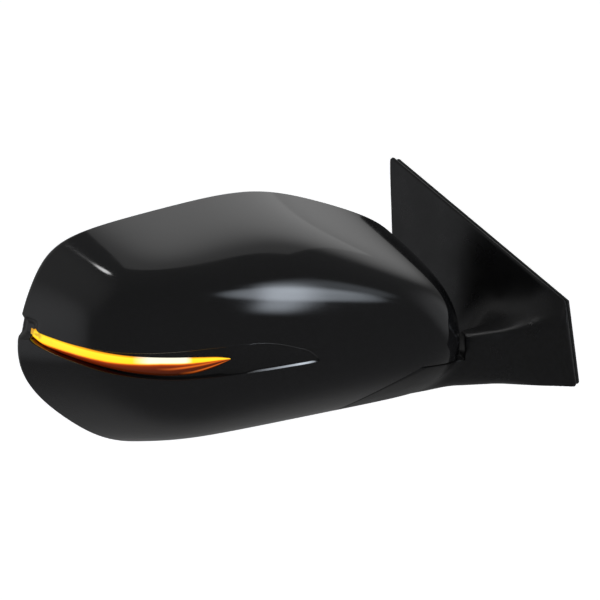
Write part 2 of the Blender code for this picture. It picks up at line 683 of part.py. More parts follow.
def turning_room(clearance, low):
    """The space above the foot that the head's inboard end sweeps between its two folded positions."""
    reach = []
    for degrees in range(0, 360, 5):
        farthest = 0.0
        for turned_by in range(-FOLD_FORWARD_DEG, FOLD_REAR_DEG + 1, 5):
            angle = math.radians(degrees + turned_by)
            outward = HEAD_AXES @ np.array([math.cos(angle), math.sin(angle), 0.0])
            for level in (-23, -12, 0, 12):
                edge = cast((0, 0, level), outward)
                farthest = max(farthest, min(math.hypot(edge[0], edge[1]), CUTOUT_RADIUS + 12))
        reach.append(farthest + clearance)
    ring = []
    for k, radius in enumerate(reach):
        angle = math.radians(5 * k)
        ring.append((FOLD_AXIS[0] + radius * math.cos(angle), FOLD_AXIS[1] + radius * math.sin(angle)))
    return loft([[(x, y, z) for x, y in ring] for z in (low, 60)])


def arm_solid(inset):
    points = []
    middle = np.array([-30, -60, -22])
    for point in ARM_POINTS:
        point = np.array(point, float)
        moved = point + inset * np.sign(middle - point)
        if point[0] == -4:
            moved[0] = point[0] + 2.5 * inset
        points.append(moved)
    return hull(points)


def build_base_cover(paint):
    edge = [(SAIL_FACE_X, 1.6), (SAIL_FACE_X + 0.6, 0.4), (-4, 0), (-GASKET_THICKNESS - GAP, 0)]
    rings = [[(x, a, b) for a, b in offset_outline(SAIL_OUTLINE, inset)] for x, inset in edge]
    cover = build_mesh("base_cover", loft(rings), paint)
    join(cover, arm_solid(0), foot_solid(0))
    cut(cover, turning_room(WALL_GAP, FOOT_TOP))
    inner = offset_outline(SAIL_OUTLINE, COVER_WALL)
    cut(cover, prism(inner, SAIL_FACE_X + COVER_WALL, 4, "u"))
    hollow = build_mesh("hollow", arm_solid(COVER_WALL))
    join(hollow, foot_solid(COVER_WALL))
    cut(hollow, turning_room(WALL_GAP + COVER_WALL, FOOT_TOP - COVER_WALL))
    corners = [tuple(np.array(vertex.co) / MM) for vertex in hollow.data.vertices]
    shape = corners, [tuple(polygon.vertices) for polygon in hollow.data.polygons]
    bpy.data.objects.remove(hollow, do_unlink=True)
    cut(cover, shape, cylinder(HUB_RADIUS + 1.0, -30, 0, (*FOLD_AXIS, 0), count=32))


def build_base_bracket(metal):
    x, y = FOLD_AXIS
    bracket = build_mesh("base_bracket", prism(PLATE_OUTLINE, PLATE_FRONT_X + 0.6, PLATE_BACK_X, "u"), metal)
    join(bracket, prism(PAD_OUTLINE, PLATE_BACK_X - 1, 0, "u"))
    core = [(px, py, pz) for pz in (-33.0, -26.5) for px, py in ARM_CORE]
    join(bracket, hull(core), hull(ARM_RIB), cylinder(HUB_RADIUS - 1, -36.5, BOSS_TOP, (x, y, 0), count=32))
    cut(bracket, cylinder(SHAFT_RADIUS + GAP, -60, 0, (x, y, 0), count=28))
    for stud_y, stud_z in STUDS:
        cut(bracket, cylinder(STUD_RADIUS + GAP, PLATE_FRONT_X + 1.8, 3, (0, stud_y, stud_z), "u", 12))
    cut(bracket, cylinder(5.3, -9, 3, (0, *GROMMET), "u", 16))


def build_base(finishes):
    build_base_cover(finishes["paint"])
    build_base_bracket(finishes["cast"])
    lip = offset_outline(SAIL_OUTLINE, -GASKET_LIP)
    opening = offset_outline(SAIL_OUTLINE, 7)
    outer = [[(x, a, b) for a, b in lip] for x in (0, -GASKET_THICKNESS)]
    inner = [[(x, a, b) for a, b in opening] for x in (-GASKET_THICKNESS, 0)]
    build_mesh("door_gasket", loft(outer + inner, joined=True), finishes["rubber"])
    for number, (y, z) in enumerate(STUDS, 1):
        profile = ((STUD_RADIUS, PLATE_FRONT_X + 2.1), (STUD_RADIUS, STUD_LENGTH - 1), (2.2, STUD_LENGTH))
        stud = stepped(profile, (0, y, z), "u", 14)
        build_mesh(f"door_stud_{number}", stud, finishes["steel"], origin=(0, y, z))
    grommet = ((2.6, -6.0), (5.0, -6.0), (5.0, -0.5), (7.5, -0.5), (7.0, 2.5), (4.5, 12), (2.6, 12))
    build_mesh("wire_grommet", lathe(grommet, (0, *GROMMET), "u", 20), finishes["rubber"])


# ---------------------------------------------------------------- wiring
def build_leads(head, finishes):
    head_path = smooth_path(((0, 0, -19), (0, 0, 10), (0, 0, 31), (6, 2, 37.5), (20, 6, 38), (38, 9, 28),
                             (60, 10, 16), (100, 14, 2), (128, 22, -10)), 4)
    build_mesh("head_lead", swept(head_path, LEAD_RADIUS, 7), finishes["rubber"], head)
    x, y = FOLD_AXIS
    base_path = smooth_path(((x, y, -20), (x, y, -34), (x + 6, y - 2, -40), (-56, -39.5, -39),
                             (-45, -47.5, -35.5), (-30, -53.8, -33.5), (-18, -56, -30),
                             (-12.5, -57.5, -25), (-10.5, -59.5, -20.5), (-6.5, *GROMMET),
                             (-3, *GROMMET), (14, *GROMMET)), 4)
    build_mesh("base_lead", swept(base_path, LEAD_RADIUS, 7), finishes["rubber"])


def main():
    for body in list(bpy.data.objects):
        bpy.data.objects.remove(body, do_unlink=True)
    finishes = {
        "paint": finish("gloss black paint", (0.012, 0.012, 0.013), 0.08),
        "plastic": finish("black textured plastic", (0.02, 0.02, 0.021), 0.5),
        "dark_plastic": finish("satin grey plastic", (0.03, 0.03, 0.032), 0.35),
        "white_plastic": finish("white acetal", (0.75, 0.74, 0.7), 0.4),
        "clear": finish("clear polycarbonate", (0.9, 0.9, 0.88), 0.05, transmission=0.9),
        "amber": finish("amber lens", (0.9, 0.35, 0.02), 0.08, transmission=0.6),
        "led": finish("amber led", (0.95, 0.6, 0.08), 0.3),
        "board": finish("green circuit board", (0.02, 0.16, 0.06), 0.4),
        "mirror": finish("mirror glass", (0.85, 0.87, 0.9), 0.02, metallic=1.0),
        "foil": finish("heater foil", (0.5, 0.28, 0.1), 0.4),
        "steel": finish("zinc plated steel", (0.55, 0.56, 0.58), 0.3, metallic=1.0),
        "cast": finish("cast aluminium", (0.42, 0.43, 0.44), 0.5, metallic=1.0),
        "bronze": finish("bronze bearing", (0.55, 0.38, 0.16), 0.35, metallic=1.0),
        "rubber": finish("black rubber", (0.015, 0.015, 0.015), 0.8),
    }
    head = empty("head_fold", (*FOLD_AXIS, 0), turn_deg=180 - SWEEP_DEG)
    yaw = empty("glass_yaw", PIVOT, PIVOT, parent=head)
    pitch = empty("glass_pitch", (0, 0, 0), PIVOT, parent=yaw)
    build_front_cap(head, finishes["paint"])
    build_rear_housing(head, finishes["plastic"])
    build_head_frame(head, finishes["cast"])
    for number, spot in enumerate(HOUSING_SCREWS, 1):
        build_screw(f"housing_screw_{number}", spot, -17.5, head, finishes["steel"])
    for number, spot in enumerate(actuator_screw_spots(), 1):
        build_screw(f"actuator_screw_{number}", spot, -18.5, head, finishes["steel"])
    build_lamp(head, finishes)
    build_glass(pitch, finishes)
    build_tilt_ring(yaw, finishes["plastic"])
    build_actuator(head, finishes)
    build_tilt_drive(head, finishes)
    build_pivot(head, finishes)
    build_base(finishes)
    build_leads(head, finishes)


main()
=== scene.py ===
"""Studio view of the folding car side mirror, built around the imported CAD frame."""
import json
import math

import bmesh
import bpy
import numpy as np
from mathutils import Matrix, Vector, geometry


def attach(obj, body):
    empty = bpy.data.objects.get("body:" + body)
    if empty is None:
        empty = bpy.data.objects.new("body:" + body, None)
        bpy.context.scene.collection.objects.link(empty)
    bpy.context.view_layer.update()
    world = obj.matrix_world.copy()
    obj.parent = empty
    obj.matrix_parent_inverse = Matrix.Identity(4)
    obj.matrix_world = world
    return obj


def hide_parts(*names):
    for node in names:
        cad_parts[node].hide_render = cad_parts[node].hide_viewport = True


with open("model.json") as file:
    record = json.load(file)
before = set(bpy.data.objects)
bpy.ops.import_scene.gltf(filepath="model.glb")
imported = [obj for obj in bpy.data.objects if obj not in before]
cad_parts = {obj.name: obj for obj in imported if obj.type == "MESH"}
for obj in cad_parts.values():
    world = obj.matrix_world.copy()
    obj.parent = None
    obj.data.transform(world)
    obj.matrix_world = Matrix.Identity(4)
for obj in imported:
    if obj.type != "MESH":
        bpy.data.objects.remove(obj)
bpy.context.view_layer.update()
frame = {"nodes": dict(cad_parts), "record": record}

MM = 0.001

# ---------------- head form (millimetres, u outboard, v front, w up)
FOLD_AXIS = np.array([-76.0, -30.0, 0.0])
SWEEP = math.radians(15)
HEAD_AXES = np.array([
    [-math.cos(SWEEP), math.sin(SWEEP), 0.0],
    [-math.sin(SWEEP), -math.cos(SWEEP), 0.0],
    [0.0, 0.0, 1.0],
])
RIM_V = -42.0
RIM_CENTRE = np.array([107.0, RIM_V, 5.0])
FORM_CENTRE = np.array([107.0, -22.0, 12.0])
FORM_SHARPNESS = 10.0
# The form is a smooth blend of flat faces, each with an outward direction and a point on it.
FORM_FACES = (
    ((0.03, 1.00, 0.05), (87, 56, 10)),
    ((0.30, 1.00, 0.10), (172, 45, 15)),
    ((1.00, 0.48, 0.03), (255.7, -36, 0)),
    ((0.84, 0.40, 0.55), (241.6, -42, 45)),
    ((0.62, 0.36, -0.88), (225, -42, -55)),
    ((0.20, 0.42, 1.00), (162, -42, 76.5)),
    ((-0.28, 0.42, 1.00), (42, -42, 78.5)),
    ((0.02, 0.74, 0.67), (124, 20, 62)),
    ((-0.11, 0.10, -1.00), (150, -22, -73.7)),
    ((-0.10, 0.70, -1.00), (112, 20, -60)),
    ((-0.85, 0.62, 0.10), (-28, 42, 10)),
    ((-0.85, 0.25, 0.75), (-12.5, -22, 66.5)),
    ((-1.00, 0.10, -0.10), (-52, -2, 0)),
    ((-0.90, -0.42, 0.00), (-29, -42, 0)),
)
OPENING_INBOARD_U = 24.0
FAN_AXIS = np.array([112.0, -122.0])
FORM_NORMALS = np.array([np.array(n) / np.linalg.norm(n) for n, _ in FORM_FACES])
FORM_DISTANCES = ((np.array([p for _, p in FORM_FACES], float) - FORM_CENTRE) * FORM_NORMALS).sum(axis=1)

CUTOUT_RADIUS = 52.0
CUTOUT_TOP = -22.7
CUTOUT_LOW = -90.0
FOOT_RADIUS = 51.0
FOOT_TOP = -23.3
WALL_GAP = 1.8  # between the arm's hollow wall and the space the head's inboard end turns through
FOLD_FORWARD_DEG = 5
FOLD_REAR_DEG = 55
CAP_WALL = 2.2
CAST_REACH = 400.0
CAST_HALVINGS = 42


def form_reach(points, distances=FORM_DISTANCES):
    """How far towards each face of the head's form the points are, as a share of the face's distance."""
    return np.maximum(0.0, (points - FORM_CENTRE) @ FORM_NORMALS.T) / distances


def form_value(points, inset=0.0):
    """Below 1 inside the head's form and 1 on it; inset moves every face inwards."""
    reach = form_reach(points, FORM_DISTANCES - np.asarray(inset)[..., None])
    return (reach**FORM_SHARPNESS).sum(axis=-1) ** (1 / FORM_SHARPNESS)


def form_slope(points):
    """The uneven gradient of the form's value, short of a factor that is the same in every direction."""
    return (form_reach(points) ** (FORM_SHARPNESS - 1) / FORM_DISTANCES) @ FORM_NORMALS


def opening_value(points, inset=0.0):
    """The same for the space the glass stands in, which ends short of the fold pivot."""
    depth = FORM_CENTRE[0] - OPENING_INBOARD_U - inset
    inboard = np.maximum(0.0, FORM_CENTRE[0] - points[..., 0]) / depth
    return (form_value(points, inset) ** FORM_SHARPNESS + inboard**FORM_SHARPNESS) ** (1 / FORM_SHARPNESS)


def unit(vectors):
    return vectors / np.linalg.norm(vectors, axis=-1, keepdims=True)


def form_normal(points):
    return unit(form_slope(points))


def cast(starts, directions, inset=0.0, value=form_value):
    """Where rays that start inside the form leave it."""
    starts, directions = np.broadcast_arrays(np.asarray(starts, float), np.asarray(directions, float))
    near = np.zeros(starts.shape[:-1])
    far = np.full(starts.shape[:-1], CAST_REACH)
    for _ in range(CAST_HALVINGS):
        middle = (near + far) / 2
        inside = value(starts + middle[..., None] * directions, inset) < 1
        near = np.where(inside, middle, near)
        far = np.where(inside, far, middle)
    return starts + near[..., None] * directions


def head_to_world(points):
    """From the head's u, v and w to world millimetres."""
    return np.asarray(points, float) @ HEAD_AXES + FOLD_AXIS


def world_to_head(points):
    return (np.asarray(points, float) - FOLD_AXIS) @ HEAD_AXES.T


# ---------------- small mesh tools
def shade(mesh, sharp_deg, face_out=False):
    """Smooth shading, apart from the edges that are sharper than this."""
    shape = bmesh.new()
    shape.from_mesh(mesh)
    if face_out:
        bmesh.ops.recalc_face_normals(shape, faces=shape.faces)
    for face in shape.faces:
        face.smooth = True
    for edge in shape.edges:
        if sharp_deg is not None and len(edge.link_faces) == 2:
            edge.smooth = edge.calc_face_angle() < math.radians(sharp_deg)
    shape.to_mesh(mesh)
    shape.free()


def make_piece(name, vertices, faces, material, body, replaced, normals=None, sharp_deg=None):
    """An object from world millimetres, riding on a CAD body and shown in place of one CAD node."""
    mesh = bpy.data.meshes.new(name)
    mesh.from_pydata((np.asarray(vertices, float) * MM).tolist(), [], faces)
    mesh.update()
    shade(mesh, sharp_deg, face_out=normals is None)
    if normals is not None:
        mesh.normals_split_custom_set_from_vertices(np.asarray(normals, float).tolist())
    mesh.materials.append(material)
    piece = bpy.data.objects.new(name, mesh)
    bpy.context.scene.collection.objects.link(piece)
    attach(piece, body)
    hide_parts(replaced)
    return piece


def grid_faces(rows, columns, wrap_columns=True, wrap_rows=False):
    faces = []
    row_steps = rows if wrap_rows else rows - 1
    column_steps = columns if wrap_columns else columns - 1
    for row in range(row_steps):
        here, there = row * columns, ((row + 1) % rows) * columns
        for k in range(column_steps):
            after = (k + 1) % columns
            faces.append((here + k, here + after, there + after, there + k))
    return faces


def capped_faces(rows, columns):
    """A tube of rings with its two ends closed."""
    last = (rows - 1) * columns
    return grid_faces(rows, columns) + [tuple(range(columns)), tuple(range(last, last + columns))]


def curve_through(table, steps, column):
    """A smooth column of a table of (key, values...) at many keys."""
    keys = np.array([row[0] for row in table], float)
    values = np.array([row[column] for row in table], float)
    slopes = np.gradient(values, keys)
    index = np.clip(np.searchsorted(keys, steps) - 1, 0, len(keys) - 2)
    span = keys[index + 1] - keys[index]
    t = (steps - keys[index]) / span
    h00 = 2 * t**3 - 3 * t**2 + 1
    h10 = t**3 - 2 * t**2 + t
    h01 = -2 * t**3 + 3 * t**2
    h11 = t**3 - t**2
    return (h00 * values[index] + h10 * span * slopes[index]
            + h01 * values[index + 1] + h11 * span * slopes[index + 1])


def fan_points(angles_deg, heights, insets):
    """Points of the form in upright half-planes at the given fan angles."""
    angles = np.radians(angles_deg)
    none = np.zeros_like(angles)
    starts = np.stack([none + FAN_AXIS[0], none + FAN_AXIS[1], heights], axis=-1)
    directions = np.stack([np.cos(angles), np.sin(angles), none], axis=-1)
    return cast(starts, directions, insets)


# ---------------- lamp recess edges: fan angle, upper w, lower w
RECESS = ((31.0, 8.0, -1.0), (35, 4.6, -5.2), (40, 2.0, -9.2), (46, -0.4, -12.8), (53, -2.2, -16.8),
          (60, -3.0, -19.6), (67, -2.6, -21.1), (75, -1.0, -20.3), (82, 0.3, -18.6), (88, 0.0, -17.0),
          (93, -3.2, -15.4), (96.5, -7.2, -14.2), (98.4, -12.6, -13.2))
LENS = ((31.6, 6.0, 1.0), (35, 3.0, -3.6), (40, 0.3, -7.2), (46, -2.4, -10.5), (53, -4.8, -13.8),
        (60, -6.6, -17.0), (67, -7.4, -18.4), (73, -7.6, -16.4), (77, -8.0, -12.6), (79.2, -8.9, -9.5))
LENS_ENDS = (31.7, 79.1)
RECESS_START_DEG = RECESS[0][0]
RECESS_TIP_DEG = RECESS[-1][0]
RECESS_ROUND_DEG = 3.2  # over this far from its start the recess's outline is rounded off

# The recess runs out over the head's outboard edge: how deep and between which heights it dents the outline.
NOTCH_DEPTH = 4.6
NOTCH_BAND = (-2.0, 2.5, 8.5, 13.0)
NOTCH_ANGLES = (31.0, 35.5)
NOTCH_BACK = (-58.0, -50.0)


def smooth_step(low, high, values):
    t = np.clip((values - low) / (high - low), 0, 1)
    return t * t * (3 - 2 * t)


def between(rise, top, end, fall, values):
    """Rises smoothly from 0 to 1 between the first two, and falls again between the last two."""
    return smooth_step(rise, top, values) * (1 - smooth_step(end, fall, values))


def fan_angle(points):
    return np.degrees(np.arctan2(points[:, 1] - FAN_AXIS[1], points[:, 0] - FAN_AXIS[0]))


def notch_depth(points):
    outboard = 1 - smooth_step(*NOTCH_ANGLES, fan_angle(points))
    band = between(*NOTCH_BAND, points[:, 2])
    return NOTCH_DEPTH * outboard * band * smooth_step(*NOTCH_BACK, points[:, 1])


def dented(points):
    """The form's points moved inwards where the recess runs out over the outline."""
    moved = points.copy()
    moved[:, 0] -= notch_depth(points)
    return moved


def recess_edges(angles):
    """Heights of the recess's upper and lower edge, which meet in a round end at its start."""
    upper = curve_through(RECESS, angles, 1)
    lower = curve_through(RECESS, angles, 2)
    short = np.maximum(0.0, RECESS_START_DEG + RECESS_ROUND_DEG - angles) / RECESS_ROUND_DEG
    rounding = np.sqrt(np.clip(1 - short**2, 0, 1))
    middle = (upper + lower) / 2
    return middle + (upper - middle) * rounding, middle + (lower - middle) * rounding


# ---------------- front cap
DISC_STEP = 0.0135  # spacing of the cap's points on its unit disc, and along its edges
RIM_STEP = 0.012
SEAM_STEP = 0.011
RECESS_STEP = 0.0085
EDGE_CLEARANCE = 0.55  # no inner point stands closer to an edge than this share of the spacing
EDGE_PROBE = 2.0
EDGE_ROLL = 0.7
ROLL_LAYERS = ((0.4, 0), (0.7, 0), (1.0, 0), (1.0, 1), (1.25, 1), (1.5, 1), (1.75, 1), (2.0, 1))
RECESS_DEPTH = 5.6
LIP_BEVEL = 1.2
LIP_BEVEL_ANGLES = (81.5, 85.0, 96.5, 98.0)
LIP_BEVEL_FACING = (0.05, 0.87, 0.50)
LIP_BEVEL_LEAN = (8, 60)  # the least and the most that the bevel leans from the skin, in degrees
LIP_STEPS = (2, 3, 4)  # the layers of the rolled edge that get the lighter, more reflective copy of the paint as a painted highlight, where the bevel is wide enough
LIP_LEAST = 0.3


def to_disc(points):
    """Where points of the head's form lie on a flat disc whose edge is the form's rear rim."""
    offset = points - RIM_CENTRE
    lift = np.arcsin(np.clip(offset[:, 1] / np.linalg.norm(offset, axis=1), -1, 1))
    around = np.arctan2(offset[:, 2], offset[:, 0])
    radius = 1 - lift / (math.pi / 2)
    return np.stack([radius * np.cos(around), radius * np.sin(around)], axis=1)


def from_disc(spots):
    radius = np.linalg.norm(spots, axis=1)
    around = np.arctan2(spots[:, 1], spots[:, 0])
    lift = (1 - radius) * math.pi / 2
    level = np.cos(lift)
    directions = np.stack([level * np.cos(around), np.sin(lift), level * np.sin(around)], axis=1)
    return cast(RIM_CENTRE, directions)


def foot_seam(radius, top):
    """The line on the form where the foot's space leaves it, from the inboard rim to the lower rim."""
    points = []
    for turn in np.radians(np.linspace(238, -55, 220)):
        outward = np.array([math.cos(turn), math.sin(turn), 0.0])
        edge = cast(np.array([0.0, 0.0, top]), outward)
        if math.hypot(edge[0], edge[1]) > radius:
            edge = cast(radius * outward + np.array([0, 0, top]), np.array([0.0, 0.0, -1.0]))
        points.append(edge)
    points = np.array(points)
    return points[points[:, 1] > RIM_V + 0.05]


def resample(points, step):
    """The same open line with evenly spaced points."""
    lengths = np.concatenate([[0], np.cumsum(np.linalg.norm(np.diff(points, axis=0), axis=1))])
    count = max(2, int(round(lengths[-1] / step)) + 1)
    at = np.linspace(0, lengths[-1], count)
    return np.stack([np.interp(at, lengths, points[:, k]) for k in range(points.shape[1])], axis=1)


def inside_polygon(spots, polygon):
    inside = np.zeros(len(spots), bool)
    x, y = spots[:, 0], spots[:, 1]
    for (x0, y0), (x1, y1) in zip(polygon, np.roll(polygon, -1, axis=0)):
        crosses = (y0 > y) != (y1 > y)
        with np.errstate(divide="ignore", invalid="ignore"):
            at = x0 + (y - y0) * (x1 - x0) / (y1 - y0)
        inside ^= crosses & (x < at)
    return inside


def nearest_distance(spots, others):
    best = np.full(len(spots), np.inf)
    for start in range(0, len(others), 200):
        block = others[start : start + 200]
        best = np.minimum(best, np.linalg.norm(spots[:, None] - block[None], axis=2).min(axis=1))
    return best


def cap_outline():
    """The cap's outer boundary and the recess, as closed loops on the disc."""
    seam = to_disc(foot_seam(CUTOUT_RADIUS, CUTOUT_TOP))
    start = math.atan2(seam[-1, 1], seam[-1, 0])
    end = math.atan2(seam[0, 1], seam[0, 0])
    if end < start:
        end += 2 * math.pi
    arc = np.linspace(start, end, 400)
    rim = np.stack([np.cos(arc), np.sin(arc)], axis=1)
    outer = np.concatenate([resample(rim, RIM_STEP)[1:-1], resample(seam, SEAM_STEP)])
    stretches = ((RECESS_START_DEG, 34.5, 40), (34.5, 94.0, 220), (94.0, RECESS_TIP_DEG, 40))
    angles = np.unique(np.concatenate([np.linspace(*stretch) for stretch in stretches]))
    top, bottom = [fan_points(angles, edge, 0.0) for edge in recess_edges(angles)]
    loop = to_disc(np.concatenate([top, bottom[::-1][1:-1]]))
    loop = resample(np.concatenate([loop, loop[:1]]), RECESS_STEP)[:-1]
    return outer, loop


def bevel_width(points):
    """The recess's lip is bevelled around the scoop, inboard of the lens."""
    return LIP_BEVEL * between(*LIP_BEVEL_ANGLES, fan_angle(points))


def rolled_edge(at, up, out, bevel):
    """Layers of points and directions that roll an edge over, with a flat bevel part of the way round."""
    facing = unit(np.array(LIP_BEVEL_FACING))
    lean = np.degrees(np.arctan2(out @ facing, up @ facing))
    middle = np.radians(np.clip(lean, *LIP_BEVEL_LEAN))[:, None]
    bevel = (bevel * (lean > LIP_BEVEL_LEAN[0] + 1))[:, None]
    slope = out * np.cos(middle) - up * np.sin(middle)
    layers, directions = [], []
    for share, done in ROLL_LAYERS:
        turn = middle * min(share, 1) + (math.pi / 2 - middle) * max(share - 1, 0)
        layers.append(at + EDGE_ROLL * (out * np.sin(turn) - up * (1 - np.cos(turn))) + done * bevel * slope)
        directions.append(up * np.cos(turn) + out * np.sin(turn))
    return layers, directions


def face_directions(skin, triangles):
    corners = skin[triangles]
    return np.cross(corners[:, 1] - corners[:, 0], corners[:, 2] - corners[:, 0])


def notch_normals(skin, triangles, normals, depth):
    """Use the mesh's own directions where the notch has moved the skin."""
    across = face_directions(skin, triangles)
    own = np.zeros_like(skin)
    for corner in range(3):
        np.add.at(own, triangles[:, corner], across)
    share = smooth_step(0.0, 0.2, depth)[:, None]
    own /= np.maximum(np.linalg.norm(own, axis=1, keepdims=True), 1e-9)
    return unit(normals * (1 - share) + own * share)


def disc_spots(outer, loop):
    """Evenly spaced points on the disc, inside the cap's outline and clear of its edges and the recess."""
    along = np.arange(-1, 1, DISC_STEP)
    rows = []
    for k, y in enumerate(np.arange(-1, 1, DISC_STEP * math.sqrt(3) / 2)):
        rows.append(np.stack([along + (k % 2) * DISC_STEP / 2, np.full_like(along, y)], axis=1))
    spots = np.concatenate(rows)
    spots = spots[on_cap(spots, outer, loop)]
    return spots[nearest_distance(spots, np.concatenate([outer, loop])) > EDGE_CLEARANCE * DISC_STEP]


def on_cap(spots, outer, loop):
    return inside_polygon(spots, outer) & ~inside_polygon(spots, loop)


def ring_edges(start, count):
    return [(start + k, start + (k + 1) % count) for k in range(count)]


def cap_sheet(outer, loop):
    """Triangles over the cap on its disc, and the points of its outline and of the recess in order."""
    plane = np.concatenate([outer, loop, disc_spots(outer, loop)])
    edges = ring_edges(0, len(outer)) + ring_edges(len(outer), len(loop))
    flat = geometry.delaunay_2d_cdt([Vector(point) for point in plane], edges, [], 0, 1e-7)
    points = np.array([tuple(point) for point in flat[0]])
    triangles = np.array([tuple(face) for face in flat[2]])
    triangles = triangles[on_cap(points[triangles].mean(axis=1), outer, loop)]
    number = {old: new for new, olds in enumerate(flat[3]) for old in olds}
    outer_ring = [number[k] for k in range(len(outer))]
    loop_ring = [number[len(outer) + k] for k in range(len(loop))]
    return points, triangles, outer_ring, loop_ring


def off_the_edge(at, up, outer, loop):
    """Directions across an edge of the skin and away from it."""
    along = unit(np.roll(at, -1, axis=0) - np.roll(at, 1, axis=0))
    out = np.cross(along, up)
    return -out if on_cap(to_disc(at + EDGE_PROBE * out), outer, loop).mean() > 0.5 else out


def build_cap(material, lip_material):
    """The painted skin with its inner side, rolled edges, the walls of the recess and the lip, whose bevel
    gets a lighter, more reflective copy of the paint as a painted highlight.
    """
    outer, loop = cap_outline()
    flat_points, triangles, outer_ring, loop_ring = cap_sheet(outer, loop)
    plain = from_disc(flat_points)
    skin = dented(plain)
    normals = form_normal(plain)
    facing = (face_directions(skin, triangles) * normals[triangles[:, 0]]).sum(axis=1)
    triangles[facing < 0] = triangles[facing < 0][:, ::-1]
    normals = notch_normals(skin, triangles, normals, notch_depth(plain))
    vertices = [skin, skin - CAP_WALL * normals]
    vertex_normals = [normals, -normals]
    faces = triangles.tolist() + (triangles[:, ::-1] + len(skin)).tolist()
    total = 2 * len(skin)
    lip_faces = []
    for ring, depth in ((outer_ring, CAP_WALL), (loop_ring, RECESS_DEPTH)):
        at = skin[ring]
        up = normals[ring]
        out = off_the_edge(at, up, outer, loop)
        bevel = bevel_width(at) * (depth == RECESS_DEPTH)
        layers, layer_normals = rolled_edge(at, up, out, bevel)
        vertices += layers + [layers[-1] - up * (depth - EDGE_ROLL)]
        vertex_normals += layer_normals + [out]
        rings = [np.array(ring)]
        for _ in range(len(layers) + 1):
            rings.append(np.arange(total, total + len(ring)))
            total += len(ring)
        rings.append(np.array(ring) + len(skin))
        for step, (here, there) in enumerate(zip(rings, rings[1:])):
            for k, after in ring_edges(0, len(ring)):
                if step in LIP_STEPS and bevel[k] > LIP_LEAST:
                    lip_faces.append(len(faces))
                faces.append((int(here[k]), int(there[k]), int(there[after]), int(here[after])))
    points = head_to_world(np.concatenate(vertices))
    directions = np.concatenate(vertex_normals) @ HEAD_AXES
    cap = make_piece("cap_shell", points, faces, material, "head", "front_cap")
    cap.data.normals_split_custom_set_from_vertices(directions.tolist())
    # The lip's bevel faces get the brighter copy of the paint: a painted highlight.
    cap.data.materials.append(lip_material)
    for face in lip_faces:
        cap.data.polygons[face].material_index = 1


# ---------------- lamp: dark surround and lens
SCOOP_START_DEG = 77.0  # the recess floor rises from here to its tip
SCOOP_BLEND_DEG = 5.0
SCOOP_DEPTH = 5.0
SCOOP_TIP_DEPTH = 0.6
SCOOP_RIM_INSET = 0.9
SHELF_INSET = 6.0
BEZEL_EDGE_INSET = 6.6
BEZEL_MARGIN = 1.8
BEZEL_WALL = 1.4
LENS_INSET = 4.6
LENS_BULGE = 0.9
LENS_WALL = 2.3


def skin_between(outer, inner, rows, columns):
    """Faces of a thin closed piece whose two sides are grids of the same size."""
    total = rows * columns
    front = grid_faces(rows, columns, wrap_columns=False)
    faces = front + [tuple(i + total for i in face[::-1]) for face in front]
    border = list(range(columns))
    border += [row * columns + columns - 1 for row in range(1, rows)]
    border += [(rows - 1) * columns + k for k in range(columns - 2, -1, -1)]
    border += [row * columns for row in range(rows - 2, 0, -1)]
    for here, there in zip(border, border[1:] + border[:1]):
        faces.append((there, here, here + total, there + total))
    return np.concatenate([outer.reshape(-1, 3), inner.reshape(-1, 3)]), faces


def walled_fan(angles, heights, insets, wall):
    """A closed piece that follows the form at these insets, with a wall behind it."""
    fan = np.repeat(angles[:, None], heights.shape[1], axis=1)
    outer = fan_points(fan, heights, insets)
    inner = fan_points(fan, heights, insets + wall)
    return skin_between(outer, inner, *heights.shape)


def build_bezel(material):
    angles = np.linspace(RECESS_START_DEG - 0.4, RECESS_TIP_DEG + 0.5, 260)
    across = np.linspace(0, 1, 41)
    inside = np.clip(angles, RECESS_START_DEG, RECESS_TIP_DEG)
    upper, lower = recess_edges(inside)
    scoop = smooth_step(SCOOP_START_DEG, RECESS_TIP_DEG, inside)
    bowl = np.sin(math.pi * across) ** 0.8
    profile = (0.25 + 0.75 * bowl) * (0.55 + 0.45 * across)
    depth = SCOOP_DEPTH + (SCOOP_TIP_DEPTH - SCOOP_DEPTH) * scoop
    floor = SCOOP_RIM_INSET + depth[:, None] * profile[None, :]
    mix = smooth_step(SCOOP_START_DEG, SCOOP_START_DEG + SCOOP_BLEND_DEG, inside)[:, None]
    insets = SHELF_INSET * (1 - mix) + floor * mix
    heights = lower[:, None] + (upper - lower)[:, None] * across[None, :]
    below, above = heights[:, :1] - BEZEL_MARGIN, heights[:, -1:] + BEZEL_MARGIN
    heights = np.concatenate([below, heights, above], axis=1)
    insets = np.pad(insets, ((0, 0), (1, 1)), constant_values=BEZEL_EDGE_INSET)
    points, faces = walled_fan(angles, heights, insets, BEZEL_WALL)
    make_piece("lamp_surround", head_to_world(points), faces, material, "head",
               "lamp_bezel", sharp_deg=40)


def build_lens(material):
    angles = np.linspace(*LENS_ENDS, 240)
    across = np.linspace(0, 1, 33)
    upper = curve_through(LENS, angles, 1)
    lower = curve_through(LENS, angles, 2)
    heights = lower[:, None] + (upper - lower)[:, None] * across[None, :]
    crown = 1 - (2 * across - 1) ** 4
    insets = np.broadcast_to(LENS_INSET - LENS_BULGE * crown[None, :], heights.shape)
    points, faces = walled_fan(angles, heights, insets, LENS_WALL)
    lens = make_piece("turn_signal_lens", head_to_world(points), faces, material, "head",
                      "signal_lens", sharp_deg=40)
    layer = lens.data.uv_layers.new(name="lens")
    along = np.linspace(0, 1, len(angles))
    for loop in lens.data.loops:
        row, column = divmod(loop.vertex_index % heights.size, len(across))
        layer.data[loop.index].uv = (along[row], across[column])


